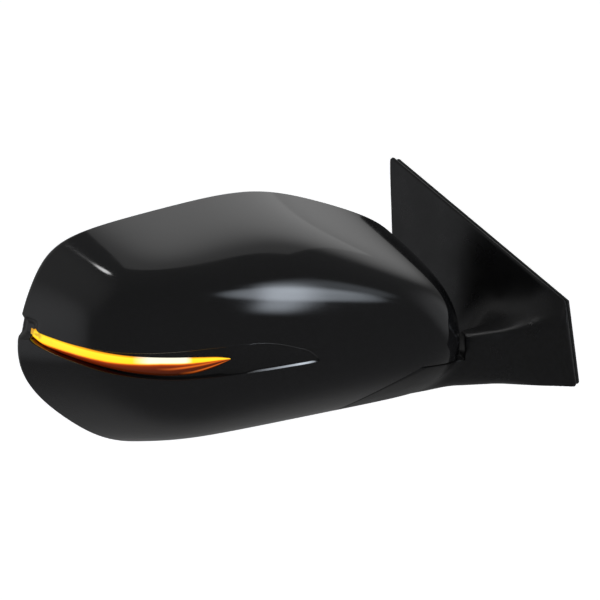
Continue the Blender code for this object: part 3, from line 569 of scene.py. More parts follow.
# ---------------- rear housing and mirror glass
HOUSING_SKIN = (
    (3.2, -42.6), (0.9, -42.6), (0.45, -42.9), (0.4, -44.5), (0.6, -47.0), (1.1, -49.5),
    (2.0, -52.0), (3.2, -54.2), (4.7, -56.0), (6.3, -57.2), (7.8, -57.8), (9.0, -58.0),
)  # (inset, v)
HOUSING_MOUTH = (
    (10.6, -57.9), (11.4, -57.5), (12.0, -56.8), (12.4, -55.8), (12.7, -54.0),
    (13.0, -50.0), (13.0, -34.5), (11.0, -34.5), (10.4, -55.0),
)
HOUSING_CHANNEL = ((6.0, -54.5),)
HOUSING_COUNT = 432
HOUSING_SHARP_DEG = 38
GLASS_INSET = 17.8
GLASS_SURFACE_V = -52.0
GLASS_DOME = 1.1
GLASS_CENTRE = np.array([137.0, 0.0, 8.0])
GLASS_THICKNESS = 1.9
GLASS_HUB = 0.04  # the share of the outline's reach at which the innermost ring stands


def rim_ring(v, inset, count, value=form_value):
    """The form's outline around its rear rim, moved inwards by inset and laid flat at v."""
    angles = 2 * math.pi * np.arange(count) / count
    directions = np.stack([np.cos(angles), np.zeros(count), np.sin(angles)], axis=1)
    ring = cast(RIM_CENTRE, directions, inset, value)
    ring[:, 1] = v
    return ring


def cut_with_cylinder(piece, radius, low, high, centre):
    """Remove an upright cylinder, in world millimetres, from a piece."""
    tool_mesh = bpy.data.meshes.new("tool")
    shape = bmesh.new()
    place = Vector((centre[0] * MM, centre[1] * MM, (low + high) / 2 * MM))
    bmesh.ops.create_cone(shape, cap_ends=True, segments=240, radius1=radius * MM, radius2=radius * MM,
                          depth=(high - low) * MM)
    bmesh.ops.translate(shape, verts=shape.verts, vec=place)
    shape.to_mesh(tool_mesh)
    shape.free()
    tool = bpy.data.objects.new("tool", tool_mesh)
    bpy.context.scene.collection.objects.link(tool)
    modifier = piece.modifiers.new("cut", "BOOLEAN")
    modifier.operation = "DIFFERENCE"
    modifier.solver = "EXACT"
    modifier.object = tool
    graph = bpy.context.evaluated_depsgraph_get()
    graph.update()
    result = bpy.data.meshes.new_from_object(piece.evaluated_get(graph))
    piece.modifiers.clear()
    piece.data = result
    bpy.data.objects.remove(tool, do_unlink=True)


def build_rear_housing(material):
    """A thin shell: the skin behind the seam, the mouth around the glass and the channel between them."""
    count = HOUSING_COUNT
    rings = [dented(rim_ring(v, inset, count)) for inset, v in HOUSING_SKIN]
    rings += [rim_ring(v, inset, count, opening_value) for inset, v in HOUSING_MOUTH]
    rings += [dented(rim_ring(v, inset, count)) for inset, v in HOUSING_CHANNEL]
    points = np.concatenate(rings)
    faces = grid_faces(len(rings), count, wrap_rows=True)
    housing = make_piece("rear_shell", head_to_world(points), faces, material, "head",
                         "rear_housing", sharp_deg=HOUSING_SHARP_DEG)
    cut_with_cylinder(housing, CUTOUT_RADIUS, CUTOUT_LOW, CUTOUT_TOP, FOLD_AXIS)
    shade(housing.data, HOUSING_SHARP_DEG)


def build_mirror_glass(material):
    """A slightly domed plate with a rounded edge, from rings of its own outline."""
    count = 240
    edge = rim_ring(GLASS_SURFACE_V, GLASS_INSET, count, opening_value)
    rings = []
    for reach in np.linspace(GLASS_HUB, 0.985, 24):
        ring = GLASS_CENTRE + (edge - GLASS_CENTRE) * reach
        ring[:, 1] = GLASS_SURFACE_V - GLASS_DOME * (1 - reach**2)
        rings.append(ring)
    for inset, depth in ((0.25, 0.1), (0.0, 0.5), (0.0, 1.6), (0.3, GLASS_THICKNESS)):
        rings.append(rim_ring(GLASS_SURFACE_V + depth, GLASS_INSET + inset, count, opening_value))
    inner = GLASS_CENTRE + (edge - GLASS_CENTRE) * GLASS_HUB
    inner[:, 1] = GLASS_SURFACE_V + GLASS_THICKNESS
    rings.append(inner)
    points = head_to_world(np.concatenate(rings))
    make_piece("mirror_plate", points, capped_faces(len(rings), count), material, "glass",
               "mirror_glass", sharp_deg=50)


# ---------------- base on the door (world millimetres)
# The sail's outline as (y, z), anticlockwise seen from the car.
SAIL_OUTLINE = np.array([(-122, -38.5), (49.5, -28), (56.5, 98.8), (-111.5, 15.2)], float)
SAIL_FACE_X = -8.0
COVER_BACK_X = -3.3
COVER_WALL = 2.5
SAIL_CORNER = 1.0
SAIL_EDGE = 1.6
SAIL_FLARE = 3.0  # how far the sail's face reaches past its outline, except along its bottom
FRONT_TAPER = 26.0  # the sail thins towards its front edge over this width
FRONT_THINNING = 4.0
ARM_SHARPNESS = 0.42
ARM_FATTENING = 0.8  # makes up for what the rounding takes off
ARM_FILLET = 30.0
FOOT_FILLET = 9.0
HOLLOW_FILLET = 4.0
FLARE_DEPTH = 3.5  # the flare grows from the cover's back over this depth
BOTTOM_EDGE = 0.8
FOOT_EDGE = 2.0
STEP_EDGE = 1.0
OUTLINE_EDGE = 1.5
OUTLINE_DRAFT = 0.3
MOUTH_EDGE = 0.5
HUB_RADIUS = 21.0  # the space for the bracket's boss under the fold pivot
HUB_LOW = -30.0
ARM_POINTS = (
    (-4, -120, -38.3), (-4, -114, -4), (-4, -94, 3), (-4, -58, -2), (-4, -47, -14), (-4, -47, -36),
    (-28, -97, -0.5), (-29, -64, 0), (-58, -76, -6), (-60, -50, -7), (-28, -49, -20), (-28, -49, -40),
    (-60, -76, -24), (-62, -73, -31), (-57, -66, -41), (-64, -40, -47), (-60, -20, -47),
)
GRID_STEP = 1.2
SETTLE_ROUNDS = 4
SWEEP_LEVELS = (-23, -12, 0, 12)
SWEEP_LIMIT = CUTOUT_RADIUS + 12
BASE_LOW = np.array([-132.0, -128.0, -74.0])
BASE_HIGH = np.array([-2.0, 58.0, 104.0])


def offset_outline(outline, distance):
    """Move every side of a flat convex outline, given anticlockwise, inwards by distance."""
    along = unit(np.roll(outline, -1, axis=0) - outline)
    inward = np.stack([-along[:, 1], along[:, 0]], axis=1)
    offsets = (inward * outline).sum(axis=1) + distance
    return np.array([np.linalg.solve(inward[[k - 1, k]], offsets[[k - 1, k]]) for k in range(len(outline))])


def beyond_side(y, z, start, end):
    """Distance outside one side of an anticlockwise outline."""
    along = unit(end - start)
    return (y - start[0]) * along[1] - (z - start[1]) * along[0]


def polygon_distance(y, z, outline, inset):
    """Signed distance to a flat convex outline moved inwards by inset, exact outside its corners."""
    corners = offset_outline(outline, inset)
    inside, outside = -np.inf, np.inf
    for start, end in zip(corners, np.roll(corners, -1, axis=0)):
        along = unit(end - start)
        length = np.linalg.norm(end - start)
        reach = np.clip((y - start[0]) * along[0] + (z - start[1]) * along[1], 0, length)
        gap = np.hypot(y - start[0] - reach * along[0], z - start[1] - reach * along[1])
        inside = np.maximum(inside, beyond_side(y, z, start, end))
        outside = np.minimum(outside, gap)
    return np.where(inside < 0, inside, outside)


def soft_min(a, b, blend):
    h = np.maximum(blend - np.abs(a - b), 0) / blend
    return np.minimum(a, b) - h * h * blend / 4


def soft_max(a, b, blend):
    return -soft_min(-a, -b, blend)


def arm_planes():
    """Outward normals and offsets of the arm's convex hull."""
    shape = bmesh.new()
    for point in ARM_POINTS:
        shape.verts.new(point)
    bmesh.ops.convex_hull(shape, input=shape.verts)
    centre = np.mean([tuple(v.co) for v in shape.verts], axis=0)
    planes = []
    for face in shape.faces:
        normal = np.array(face.normal)
        offset = normal @ np.array(face.verts[0].co)
        if normal @ centre > offset:
            normal, offset = -normal, -offset
        if all(abs(offset - o) > 0.02 or normal @ n < 0.9995 for n, o in planes):
            planes.append((normal, offset))
    shape.free()
    return planes


ARM_PLANES = arm_planes()


def arm_distance(points):
    """Distance to the arm's hull, with its edges rounded off."""
    reach = np.array([points @ normal - offset for normal, offset in ARM_PLANES])
    top = reach.max(axis=0)
    return top + np.log(np.exp((reach - top) * ARM_SHARPNESS).sum(axis=0)) / ARM_SHARPNESS - ARM_FATTENING


def swept_reach():
    """How far from the fold axis the head's inboard end reaches, by world direction in degrees."""
    starts = np.array([(0.0, 0.0, level) for level in SWEEP_LEVELS])
    turn = np.radians(np.arange(0, 360))
    outward = np.stack([np.cos(turn), np.sin(turn), np.zeros_like(turn)], axis=1)
    edge = cast(starts[None], (outward @ HEAD_AXES.T)[:, None, :])
    reach = np.minimum(np.hypot(edge[..., 0], edge[..., 1]).max(axis=1), SWEEP_LIMIT)
    turned = [np.roll(reach, -shift) for shift in range(-FOLD_FORWARD_DEG, FOLD_REAR_DEG + 1, 5)]
    return np.max(turned, axis=0)


SWEPT_REACH = swept_reach()


def turning_room(points, radius):
    """Negative inside the space the head's inboard end sweeps above the foot."""
    degrees = np.degrees(np.arctan2(points[..., 1] - FOLD_AXIS[1], points[..., 0] - FOLD_AXIS[0])) % 360
    reach = np.interp(degrees, np.arange(361), np.append(SWEPT_REACH, SWEPT_REACH[0]))
    return soft_max(radius - reach - WALL_GAP, FOOT_TOP - points[..., 2], STEP_EDGE)


def form_distance(points):
    """How far a world point is outside the head's form, to first order."""
    local = world_to_head(points)
    value = np.maximum(form_value(local), 1e-3)
    steepness = np.linalg.norm(form_slope(local), axis=-1) / value ** (FORM_SHARPNESS - 1)
    return (value - 1) / np.maximum(steepness, 1e-4)


def sail_face(y, z):
    """Where the sail's outer face is: it thins towards the front edge."""
    inward = -beyond_side(y, z, SAIL_OUTLINE[3], SAIL_OUTLINE[0])
    return SAIL_FACE_X + FRONT_THINNING * (1 - np.clip(inward / FRONT_TAPER, 0, 1)) ** 2


def cover_solid(points):
    """The base cover without its hollow: negative inside."""
    x, y, z = points[..., 0], points[..., 1], points[..., 2]
    radius = np.hypot(x - FOLD_AXIS[0], y - FOLD_AXIS[1])
    flare = SAIL_FLARE * np.clip((COVER_BACK_X - x) / FLARE_DEPTH, 0, 1)
    flat = polygon_distance(y, z, SAIL_OUTLINE, SAIL_CORNER) - SAIL_CORNER - flare
    flat = soft_max(flat, beyond_side(y, z, SAIL_OUTLINE[0], SAIL_OUTLINE[1]), BOTTOM_EDGE)
    sail = soft_max(flat, sail_face(y, z) - x, 2 * SAIL_EDGE)
    foot = soft_max(form_distance(points), radius - FOOT_RADIUS, FOOT_EDGE)
    foot = soft_max(foot, z - FOOT_TOP, STEP_EDGE)
    solid = soft_min(sail, arm_distance(points), ARM_FILLET)
    solid = soft_min(solid, foot, FOOT_FILLET)
    solid = soft_max(solid, -turning_room(points, radius), STEP_EDGE)
    edge = flat - OUTLINE_DRAFT * np.maximum(0, sail_face(y, z) - x)
    return np.maximum(soft_max(solid, edge, OUTLINE_EDGE), x - COVER_BACK_X)


def cover_field(points):
    """The base cover with its hollow: negative in the wall, zero on every surface of it."""
    x, y, z = points[..., 0], points[..., 1], points[..., 2]
    radius = np.hypot(x - FOLD_AXIS[0], y - FOLD_AXIS[1])
    solid = cover_solid(points)
    opening = np.maximum(polygon_distance(y, z, SAIL_OUTLINE, COVER_WALL), sail_face(y, z) + COVER_WALL - x)
    foot = np.maximum(np.maximum(form_distance(points), radius - FOOT_RADIUS), z - FOOT_TOP)
    hollow = np.minimum(soft_min(arm_distance(points), foot, HOLLOW_FILLET) + COVER_WALL, opening)
    hollow = np.maximum(hollow, COVER_WALL - turning_room(points, radius))
    hub = np.maximum(radius - HUB_RADIUS, np.maximum(HUB_LOW - z, z))
    return soft_max(solid, -np.minimum(hollow, hub), MOUTH_EDGE)


def field_slope(field, points, delta=0.12):
    slope = np.zeros_like(points)
    for axis in range(3):
        shift = np.zeros(3)
        shift[axis] = delta
        slope[:, axis] = (field(points + shift) - field(points - shift)) / (2 * delta)
    return slope


def net_points(values):
    """A point in each grid cell that the surface crosses, in grid steps, and each cell's point number."""
    corners = [(i, j, k) for i in (0, 1) for j in (0, 1) for k in (0, 1)]
    cells = tuple(n - 1 for n in values.shape)

    def part(corner):
        return values[tuple(slice(c, c + n) for c, n in zip(corner, cells))]

    count = sum((part(corner) < 0).astype(int) for corner in corners)
    active = (count > 0) & (count < len(corners))
    index = np.full(cells, -1)
    index[active] = np.arange(active.sum())
    where = np.argwhere(active)
    total = np.zeros((len(where), 3))
    crossings = np.zeros(len(where))
    for corner in corners:
        for axis in range(3):
            if corner[axis]:
                continue
            across = tuple(c + (n == axis) for n, c in enumerate(corner))
            here, there = part(corner)[active], part(across)[active]
            crossed = (here < 0) != (there < 0)
            spot = np.tile(np.array(corner, float), (len(where), 1))
            spot[:, axis] = here / np.where(crossed, here - there, 1)
            total += np.where(crossed[:, None], spot, 0)
            crossings += crossed
    return where + total / crossings[:, None], index


def net_faces(inside, index):
    """A quad around each grid edge that the surface crosses."""
    faces = []
    for axis in range(3):
        b, c = (axis + 1) % 3, (axis + 2) % 3
        change = np.diff(inside, axis=axis)
        for spot in np.argwhere(change):
            if min(spot[b], spot[c]) == 0 or spot[b] >= index.shape[b] or spot[c] >= index.shape[c]:
                continue
            quad = []
            for db, dc in ((-1, -1), (0, -1), (0, 0), (-1, 0)):
                cell = spot.copy()
                cell[[b, c]] += (db, dc)
                quad.append(int(index[tuple(cell)]))
            faces.append(tuple(quad if inside[tuple(spot)] else quad[::-1]))
    return faces


def settle(field, points, longest):
    """Move points onto a field's zero surface in a few limited steps."""
    for _ in range(SETTLE_ROUNDS):
        slope = field_slope(field, points)
        steepness = np.maximum((slope**2).sum(axis=1), 0.2)
        move = -(field(points) / steepness)[:, None] * slope
        length = np.linalg.norm(move, axis=1, keepdims=True)
        points = points + move * np.minimum(1, longest / np.maximum(length, 1e-9))
    return points


def surface_nets(field, low, high, step):
    """A quad mesh of a field's zero surface, and the field's slope at its points."""
    xs, ys, zs = [np.arange(a, b + step, step) for a, b in zip(low, high)]
    slices = [np.stack(np.meshgrid([x], ys, zs, indexing="ij"), axis=-1) for x in xs]
    values = np.concatenate([field(points) for points in slices])
    spots, index = net_points(values)
    points = settle(field, low + spots * step, 0.4 * step)
    return points, net_faces(values < 0, index), field_slope(field, points)


def build_base_shell(material):
    points, faces, slopes = surface_nets(cover_field, BASE_LOW, BASE_HIGH, GRID_STEP)
    normals = slopes / np.maximum(np.linalg.norm(slopes, axis=1, keepdims=True), 1e-9)
    make_piece("base_shell", points, faces, material, "base", "base_cover",
               normals=normals)


def rounded_outline(outline, inset, radius, steps=10):
    """A flat convex outline moved inwards, with its corners as arcs; always the same number of points."""
    corners = offset_outline(outline, inset)
    points = []
    for before, corner, after in zip(np.roll(corners, 1, axis=0), corners, np.roll(corners, -1, axis=0)):
        back = unit(before - corner)
        ahead = unit(after - corner)
        half = math.acos(np.clip(back @ ahead, -1, 1)) / 2
        middle = unit(back + ahead)
        hub = corner + middle * radius / math.sin(half)
        turn = math.pi / 2 - half
        for t in np.linspace(-turn, turn, steps):
            c, s = math.cos(t), math.sin(t)
            turned = np.array([c * middle[0] - s * middle[1], s * middle[0] + c * middle[1]])
            points.append(hub - radius * turned)
    return np.array(points)


GASKET_LIP = 0.8
GASKET_DEPTH = 3.0
GASKET_BEAD = 1.45


def build_gasket(material):
    """The rubber seal: a flat rim with a round bead that shows around the sail."""
    bead = []
    half = GASKET_DEPTH / 2
    for turn in np.radians(np.linspace(-90, 90, 9)):
        bead.append((GASKET_BEAD * (1 - math.cos(turn)) - GASKET_LIP, -half - half * math.sin(turn)))
    profile = [(7.0, 0.0), (2.0, 0.0)] + bead
    profile += [(inset, -GASKET_DEPTH) for inset in (2.0, 2.4, 7.0)]
    rings = []
    for inset, x in profile:
        ring = rounded_outline(SAIL_OUTLINE, inset, max(1.0 - inset, 0.4))
        rings.append(np.column_stack([np.full(len(ring), x), ring]))
    points = np.concatenate(rings)
    faces = grid_faces(len(rings), len(rings[0]), wrap_rows=True)
    make_piece("door_seal", points, faces, material, "base", "door_gasket", sharp_deg=50)


# ---------------- fastenings and grommet
STUDS = ((-88, -14), (20, 38), (20, -13))  # (y, z)
STUD_RADIUS = 3.0
STUD_LENGTH = 22.0
THREAD_PITCH = 1.0
THREAD_DEPTH = 0.55
THREAD_START = 0.5
THREAD_RUNOUT = 1.2
GROMMET = (-62.0, -18.5)


def turned_piece(name, profile, place, material, replaced, sharp_deg, count, thread=0.0, hollow=False):
    """Turn (radius, x) pairs about an axis along world X; thread makes the radius run in a helix."""
    points = []
    for radius, x in profile:
        for angle in 2 * math.pi * np.arange(count) / count:
            reach = radius
            if thread and THREAD_START < x < STUD_LENGTH - THREAD_RUNOUT:
                reach += thread * (math.cos(2 * math.pi * x / THREAD_PITCH - angle) - 1) / 2
            points.append((x, place[0] + reach * math.cos(angle), place[1] + reach * math.sin(angle)))
    if hollow:
        faces = grid_faces(len(profile), count, wrap_rows=True)
    else:
        faces = capped_faces(len(profile), count)
    make_piece(name, points, faces, material, "base", replaced, sharp_deg=sharp_deg)


def build_studs(material):
    radius = STUD_RADIUS
    profile = [(radius - 0.2, -2.9), (radius, -2.7), (radius, 0.0)]
    profile += [(radius, x) for x in np.arange(0.2, STUD_LENGTH - 1.0, THREAD_PITCH / 8)]
    profile += [(radius - 0.1, STUD_LENGTH - 1.0), (2.2, STUD_LENGTH)]
    for number, place in enumerate(STUDS, 1):
        turned_piece(f"stud_{number}", profile, place, material, f"door_stud_{number}", 42, 40,
                     thread=THREAD_DEPTH)


def build_grommet(material):
    profile = [(2.6, -6.0), (4.6, -6.0), (5.0, -5.6), (5.0, -0.5)]
    profile += [(7.2, -0.5), (7.5, -0.2), (7.4, 1.4), (7.0, 2.1)]
    for rib in range(4):
        x = 2.6 + 2.2 * rib
        profile += [(5.4 - 0.2 * rib, x), (5.7 - 0.2 * rib, x + 0.5), (5.5 - 0.2 * rib, x + 1.1),
                    (4.5 - 0.1 * rib, x + 1.6)]
    profile += [(4.3, 11.8), (4.0, 12.0), (2.6, 12.0)]
    turned_piece("lead_grommet", profile, GROMMET, material, "wire_grommet", 45, 48,
                 hollow=True)


# ---------------- materials
def feed(tree, socket, value):
    """Give a socket a node's output, a number or a colour."""
    if isinstance(value, bpy.types.NodeSocket):
        tree.links.new(value, socket)
    elif socket.type == "RGBA":
        socket.default_value = (*value, 1.0)
    else:
        socket.default_value = value


class Nodes:
    """Small helpers that add one node each to a shader tree."""

    def __init__(self, tree, coordinates):
        self.tree = tree
        self.place = tree.nodes.new("ShaderNodeTexCoord").outputs[coordinates]

    def link(self, output, socket):
        self.tree.links.new(output, socket)

    def noise(self, scale, detail):
        node = self.tree.nodes.new("ShaderNodeTexNoise")
        node.inputs["Scale"].default_value = scale
        node.inputs["Detail"].default_value = detail
        self.link(self.place, node.inputs["Vector"])
        return node.outputs["Fac"]

    def cells(self, scale, feature="F1"):
        node = self.tree.nodes.new("ShaderNodeTexVoronoi")
        node.feature = feature
        node.inputs["Scale"].default_value = scale
        self.link(self.place, node.inputs["Vector"])
        return node.outputs["Distance"]

    def span(self, value, low, high, low_in=0.0, high_in=1.0, soft=False):
        """Map a value onto another range, clamped."""
        node = self.tree.nodes.new("ShaderNodeMapRange")
        if soft:
            node.interpolation_type = "SMOOTHERSTEP"
        limits = {"From Min": low_in, "From Max": high_in, "To Min": low, "To Max": high}
        for socket, number in limits.items():
            node.inputs[socket].default_value = number
        self.link(value, node.inputs["Value"])
        return node.outputs["Result"]

    def math(self, operation, first, second=0.0):
        node = self.tree.nodes.new("ShaderNodeMath")
        node.operation = operation
        feed(self.tree, node.inputs[0], first)
        feed(self.tree, node.inputs[1], second)
        return node.outputs["Value"]

    def vector(self, operation, first, second):
        node = self.tree.nodes.new("ShaderNodeVectorMath")
        node.operation = operation
        feed(self.tree, node.inputs[0], first)
        feed(self.tree, node.inputs["Scale"] if operation == "SCALE" else node.inputs[1], second)
        return node.outputs["Value" if operation == "DOT_PRODUCT" else "Vector"]

    def ramp(self, value, stops):
        """Colours at places along a value."""
        node = self.tree.nodes.new("ShaderNodeValToRGB")
        elements = node.color_ramp.elements
        while len(elements) < len(stops):
            elements.new(0.5)
        for element, (place, colour) in zip(elements, stops):
            element.position = place
            element.color = (*colour, 1.0)
        self.link(value, node.inputs["Fac"])
        return node.outputs["Color"]

    def blend(self, amount, first, second):
        """Mix two colours."""
        node = self.tree.nodes.new("ShaderNodeMix")
        node.data_type = "RGBA"
        self.link(amount, node.inputs["Factor"])
        feed(self.tree, node.inputs[6], first)
        feed(self.tree, node.inputs[7], second)
        return node.outputs[2]


class Recipe(Nodes):
    """A Principled material with textures in object coordinates (metres)."""

    def __init__(self, name, colour, roughness, metallic=0.0):
        self.material = bpy.data.materials.new(name)
        self.material.use_nodes = True
        super().__init__(self.material.node_tree, "Object")
        self.shader = self.tree.nodes["Principled BSDF"]
        self.colour = colour
        self.bump_chain = None
        self.set("Base Color", (*colour, 1.0))
        self.set("Roughness", roughness)
        self.set("Metallic", metallic)

    def set(self, socket, value):
        self.shader.inputs[socket].default_value = value

    def drive(self, socket, output):
        self.link(output, self.shader.inputs[socket])

    def mottle(self, scale, strength, detail=3.0):
        """Slight variation of the base colour."""
        low = tuple(c * (1 - strength) for c in self.colour)
        high = tuple(min(1.0, c * (1 + strength)) for c in self.colour)
        self.drive("Base Color", self.ramp(self.noise(scale, detail), ((0.35, low), (0.65, high))))

    def uneven_gloss(self, scale, low, high, detail=2.0):
        self.drive("Roughness", self.span(self.noise(scale, detail), low, high, 0.35, 0.65))

    def bump(self, height, strength, distance):
        node = self.tree.nodes.new("ShaderNodeBump")
        node.inputs["Strength"].default_value = strength
        node.inputs["Distance"].default_value = distance
        self.link(height, node.inputs["Height"])
        if self.bump_chain is not None:
            self.link(self.bump_chain, node.inputs["Normal"])
        self.bump_chain = node.outputs["Normal"]
        self.drive("Normal", self.bump_chain)


# Each finish: name, colour, roughness and metallic value; mottling of the colour (scale, strength, detail);
# uneven gloss (scale, low, high, detail); bumps (scale, noise detail or none for cells, strength, depth);
# and the rest of its settings.
FINISHES = {
    "gloss_black_paint": (
        ("gloss black paint", (0.006, 0.006, 0.0066), 0.08), (900, 0.25), (45, 0.07, 0.11),
        ((260, 2.0, 0.02, 0.0002),), {"Coat Weight": 0.25, "Coat Roughness": 0.03, "Coat IOR": 1.5}),
    # The lip's bevel: a lighter, more reflective copy of the gloss black paint, as a painted highlight.
    "lip_highlight_paint": (
        ("brightened black paint for lip highlight", (0.01, 0.01, 0.011), 0.06), (900, 0.25), (45, 0.05, 0.09), (), {"IOR": 2.8}),
    "black_plastic": (
        ("black grained plastic", (0.016, 0.016, 0.017), 0.5), (420, 0.3), (120, 0.44, 0.58),
        ((1500, None, 0.35, 0.0001), (2600, 2.0, 0.2, 0.0001)), {}),
    "smooth_housing": (
        ("smooth black housing plastic", (0.005, 0.005, 0.0054), 0.16), (500, 0.25), (60, 0.13, 0.2),
        ((1500, 2.0, 0.04, 0.0001),), {}),
    "smooth_base": (
        ("smooth black base plastic", (0.005, 0.005, 0.0054), 0.3), (500, 0.25), (60, 0.27, 0.34),
        ((1500, 2.0, 0.04, 0.0001),), {}),
    "satin_plastic": (
        ("satin dark plastic", (0.022, 0.022, 0.024), 0.32), (300, 0.2), (90, 0.28, 0.38),
        ((1800, 2.0, 0.12, 0.00008),), {}),
    "black_rubber": (
        ("black rubber", (0.012, 0.012, 0.012), 0.6), (260, 0.35), (140, 0.5, 0.72),
        ((1400, 4.0, 0.25, 0.0001),), {}),
    "white_acetal": (
        ("white acetal", (0.72, 0.71, 0.66), 0.35), (220, 0.05), (160, 0.3, 0.42),
        ((1200, 2.0, 0.08, 0.0001),),
        {"Subsurface Weight": 0.15, "Subsurface Radius": (0.002, 0.002, 0.0015)}),
    "clear_polycarbonate": (
        ("clear polycarbonate", (0.93, 0.93, 0.91), 0.05), (150, 0.03), (200, 0.03, 0.09),
        ((500, 1.0, 0.04, 0.0001),), {"Transmission Weight": 0.9, "IOR": 1.58}),
    "led_package": (
        ("lit amber package", (0.95, 0.6, 0.08), 0.25), (1500, 0.1), (900, 0.2, 0.3), (),
        {"Emission Color": (1.0, 0.45, 0.05, 1.0), "Emission Strength": 4.0}),
    "mirror_glass": (
        ("silvered mirror glass", (0.83, 0.86, 0.9), 0.02, 1.0), (35, 0.02), (60, 0.012, 0.03), (),
        {"Coat Weight": 0.6, "Coat Roughness": 0.01}),
    "zinc_steel": (
        ("zinc plated steel", (0.58, 0.59, 0.6), 0.3, 1.0), (180, 0.12), (350, 0.22, 0.4, 4.0),
        ((1500, 3.0, 0.1, 0.00005),), {}),
    "cast_aluminium": (
        ("cast aluminium", (0.4, 0.41, 0.42), 0.5, 1.0), (140, 0.2, 5.0), (260, 0.4, 0.62, 4.0),
        ((900, 5.0, 0.4, 0.00015),), {}),
    "bronze_bearing": (
        ("sintered bronze", (0.5, 0.33, 0.14), 0.38, 1.0), (700, 0.2), (500, 0.3, 0.48),
        ((1800, None, 0.2, 0.00005),), {}),
}


def plain_finish(base, mottle, gloss, bumps, rest):
    finish = Recipe(*base)
    finish.mottle(*mottle)
    finish.uneven_gloss(*gloss)
    for scale, detail, strength, depth in bumps:
        height = finish.cells(scale) if detail is None else finish.noise(scale, detail)
        finish.bump(height, strength, depth)
    for socket, value in rest.items():
        finish.set(socket, value)
    return finish.material


def circuit_board():
    board = Recipe("green circuit board", (0.012, 0.12, 0.04), 0.35)
    traces = board.span(board.cells(700, "DISTANCE_TO_EDGE"), 0.0, 1.0, 0.03, 0.06)
    board.drive("Base Color", board.ramp(traces, ((0.0, (0.03, 0.2, 0.07)), (1.0, (0.01, 0.1, 0.035)))))
    board.uneven_gloss(300, 0.28, 0.42)
    board.bump(traces, 0.3, 0.0001)
    return board.material


def heater_foil():
    foil = Recipe("orange heater film", (0.45, 0.22, 0.06), 0.4)
    node = foil.tree.nodes.new("ShaderNodeTexWave")
    node.inputs["Scale"].default_value = 80
    node.inputs["Distortion"].default_value = 0.4
    node.bands_direction = "Z"
    foil.link(foil.place, node.inputs["Vector"])
    tracks = foil.span(node.outputs["Fac"], 0.0, 1.0, 0.45, 0.55)
    foil.drive("Base Color", foil.ramp(tracks, ((0.0, (0.5, 0.25, 0.07)), (1.0, (0.6, 0.4, 0.2)))))
    foil.uneven_gloss(200, 0.3, 0.5)
    foil.bump(tracks, 0.4, 0.00005)
    return foil.material


def lit_amber_lens():
    """The lens glows: a yellow band along its top, white-hot near its inboard end, dark red below."""
    lens = Recipe("lit amber lens", (0.05, 0.012, 0.002), 0.09)
    uv = lens.tree.nodes.new("ShaderNodeUVMap")
    uv.uv_map = "lens"
    split = lens.tree.nodes.new("ShaderNodeSeparateXYZ")
    lens.link(uv.outputs["UV"], split.inputs["Vector"])
    along, across = split.outputs["X"], split.outputs["Y"]
    band_foot = ((0.0, 0.0), (0.05, 0.04), (0.11, 0.14), (0.25, 0.3), (0.455, 0.41), (0.6, 0.56),
                 (0.69, 0.64), (0.93, 0.67), (1.0, 0.7))
    foot = lens.ramp(along, [(place, (level, level, level)) for place, level in band_foot])
    foot = lens.math("ADD", foot, lens.span(lens.noise(60, 2.0), -0.03, 0.03))
    height = lens.math("DIVIDE", lens.math("SUBTRACT", across, foot), lens.math("SUBTRACT", 1.0, foot))
    low_glow = lens.ramp(lens.span(lens.math("SUBTRACT", across, foot), 0.0, 1.0, -0.6, 0.02),
                         ((0.0, (0.01, 0.0006, 0.0)), (0.45, (0.06, 0.004, 0.0)),
                          (0.8, (0.16, 0.012, 0.001)), (1.0, (0.7, 0.1, 0.004))))
    band = lens.ramp(height, ((0.0, (1.0, 0.24, 0.01)), (0.16, (1.0, 0.72, 0.02)), (0.8, (1.0, 0.82, 0.03)),
                              (1.0, (0.85, 0.28, 0.01))))
    glow = lens.blend(lens.span(height, 0.0, 1.0, -0.05, 0.05), low_glow, band)
    hot = lens.ramp(along, ((0.57, (0, 0, 0)), (0.64, (1, 1, 1)), (0.8, (1, 1, 1)), (0.83, (0, 0, 0))))
    hot = lens.math("MULTIPLY", hot, lens.span(height, 0.0, 1.0, 0.06, 0.3))
    glow = lens.blend(hot, glow, (1.0, 0.93, 0.72))
    for start, end, low, high in ((0.728, 0.962, 0.38, 0.58), (0.83, 0.97, 0.11, 0.25)):
        line = lens.span(along, low, high, start, end)
        near = lens.math("ABSOLUTE", lens.math("SUBTRACT", across, line))
        streak = lens.math("MULTIPLY", lens.span(near, 0.8, 0.0, 0.0, 0.09),
                           lens.span(along, 0.0, 1.0, start - 0.06, start + 0.06))
        glow = lens.blend(streak, glow, (0.85, 0.15, 0.01))
    patch = lens.math("MULTIPLY", lens.span(lens.noise(170, 2.0), 0.0, 0.8, 0.48, 0.62),
                      lens.span(along, 1.0, 0.0, 0.03, 0.16))
    glow = lens.blend(patch, glow, (0.5, 0.2, 0.02))
    lens.drive("Emission Color", glow)
    lens.set("Emission Strength", 1.15)
    lens.bump(lens.noise(350, 1.0), 0.05, 0.0002)
    return lens.material


# ---------------- studio
VIEW_AZIMUTH = math.radians(-40)
VIEW_ELEVATION = math.radians(8)
VIEW_DISTANCE = 1.6
VIEW_TARGET = Vector((-0.156, -0.020, 0.020))
VIEW_LENS = 147.7
FLOOR_Z = -0.35
FLOOR_REACH = 60.0


def add_camera():
    data = bpy.data.cameras.new("camera")
    data.sensor_width = 36
    data.lens = VIEW_LENS
    camera = bpy.data.objects.new("camera", data)
    level = math.cos(VIEW_ELEVATION)
    east, south = math.sin(VIEW_AZIMUTH) * level, math.cos(VIEW_AZIMUTH) * level
    back = Vector((east, -south, math.sin(VIEW_ELEVATION)))
    camera.location = VIEW_TARGET + VIEW_DISTANCE * back
    camera.rotation_euler = (math.pi / 2 - VIEW_ELEVATION, 0, VIEW_AZIMUTH)
    bpy.context.scene.collection.objects.link(camera)
    bpy.context.scene.camera = camera


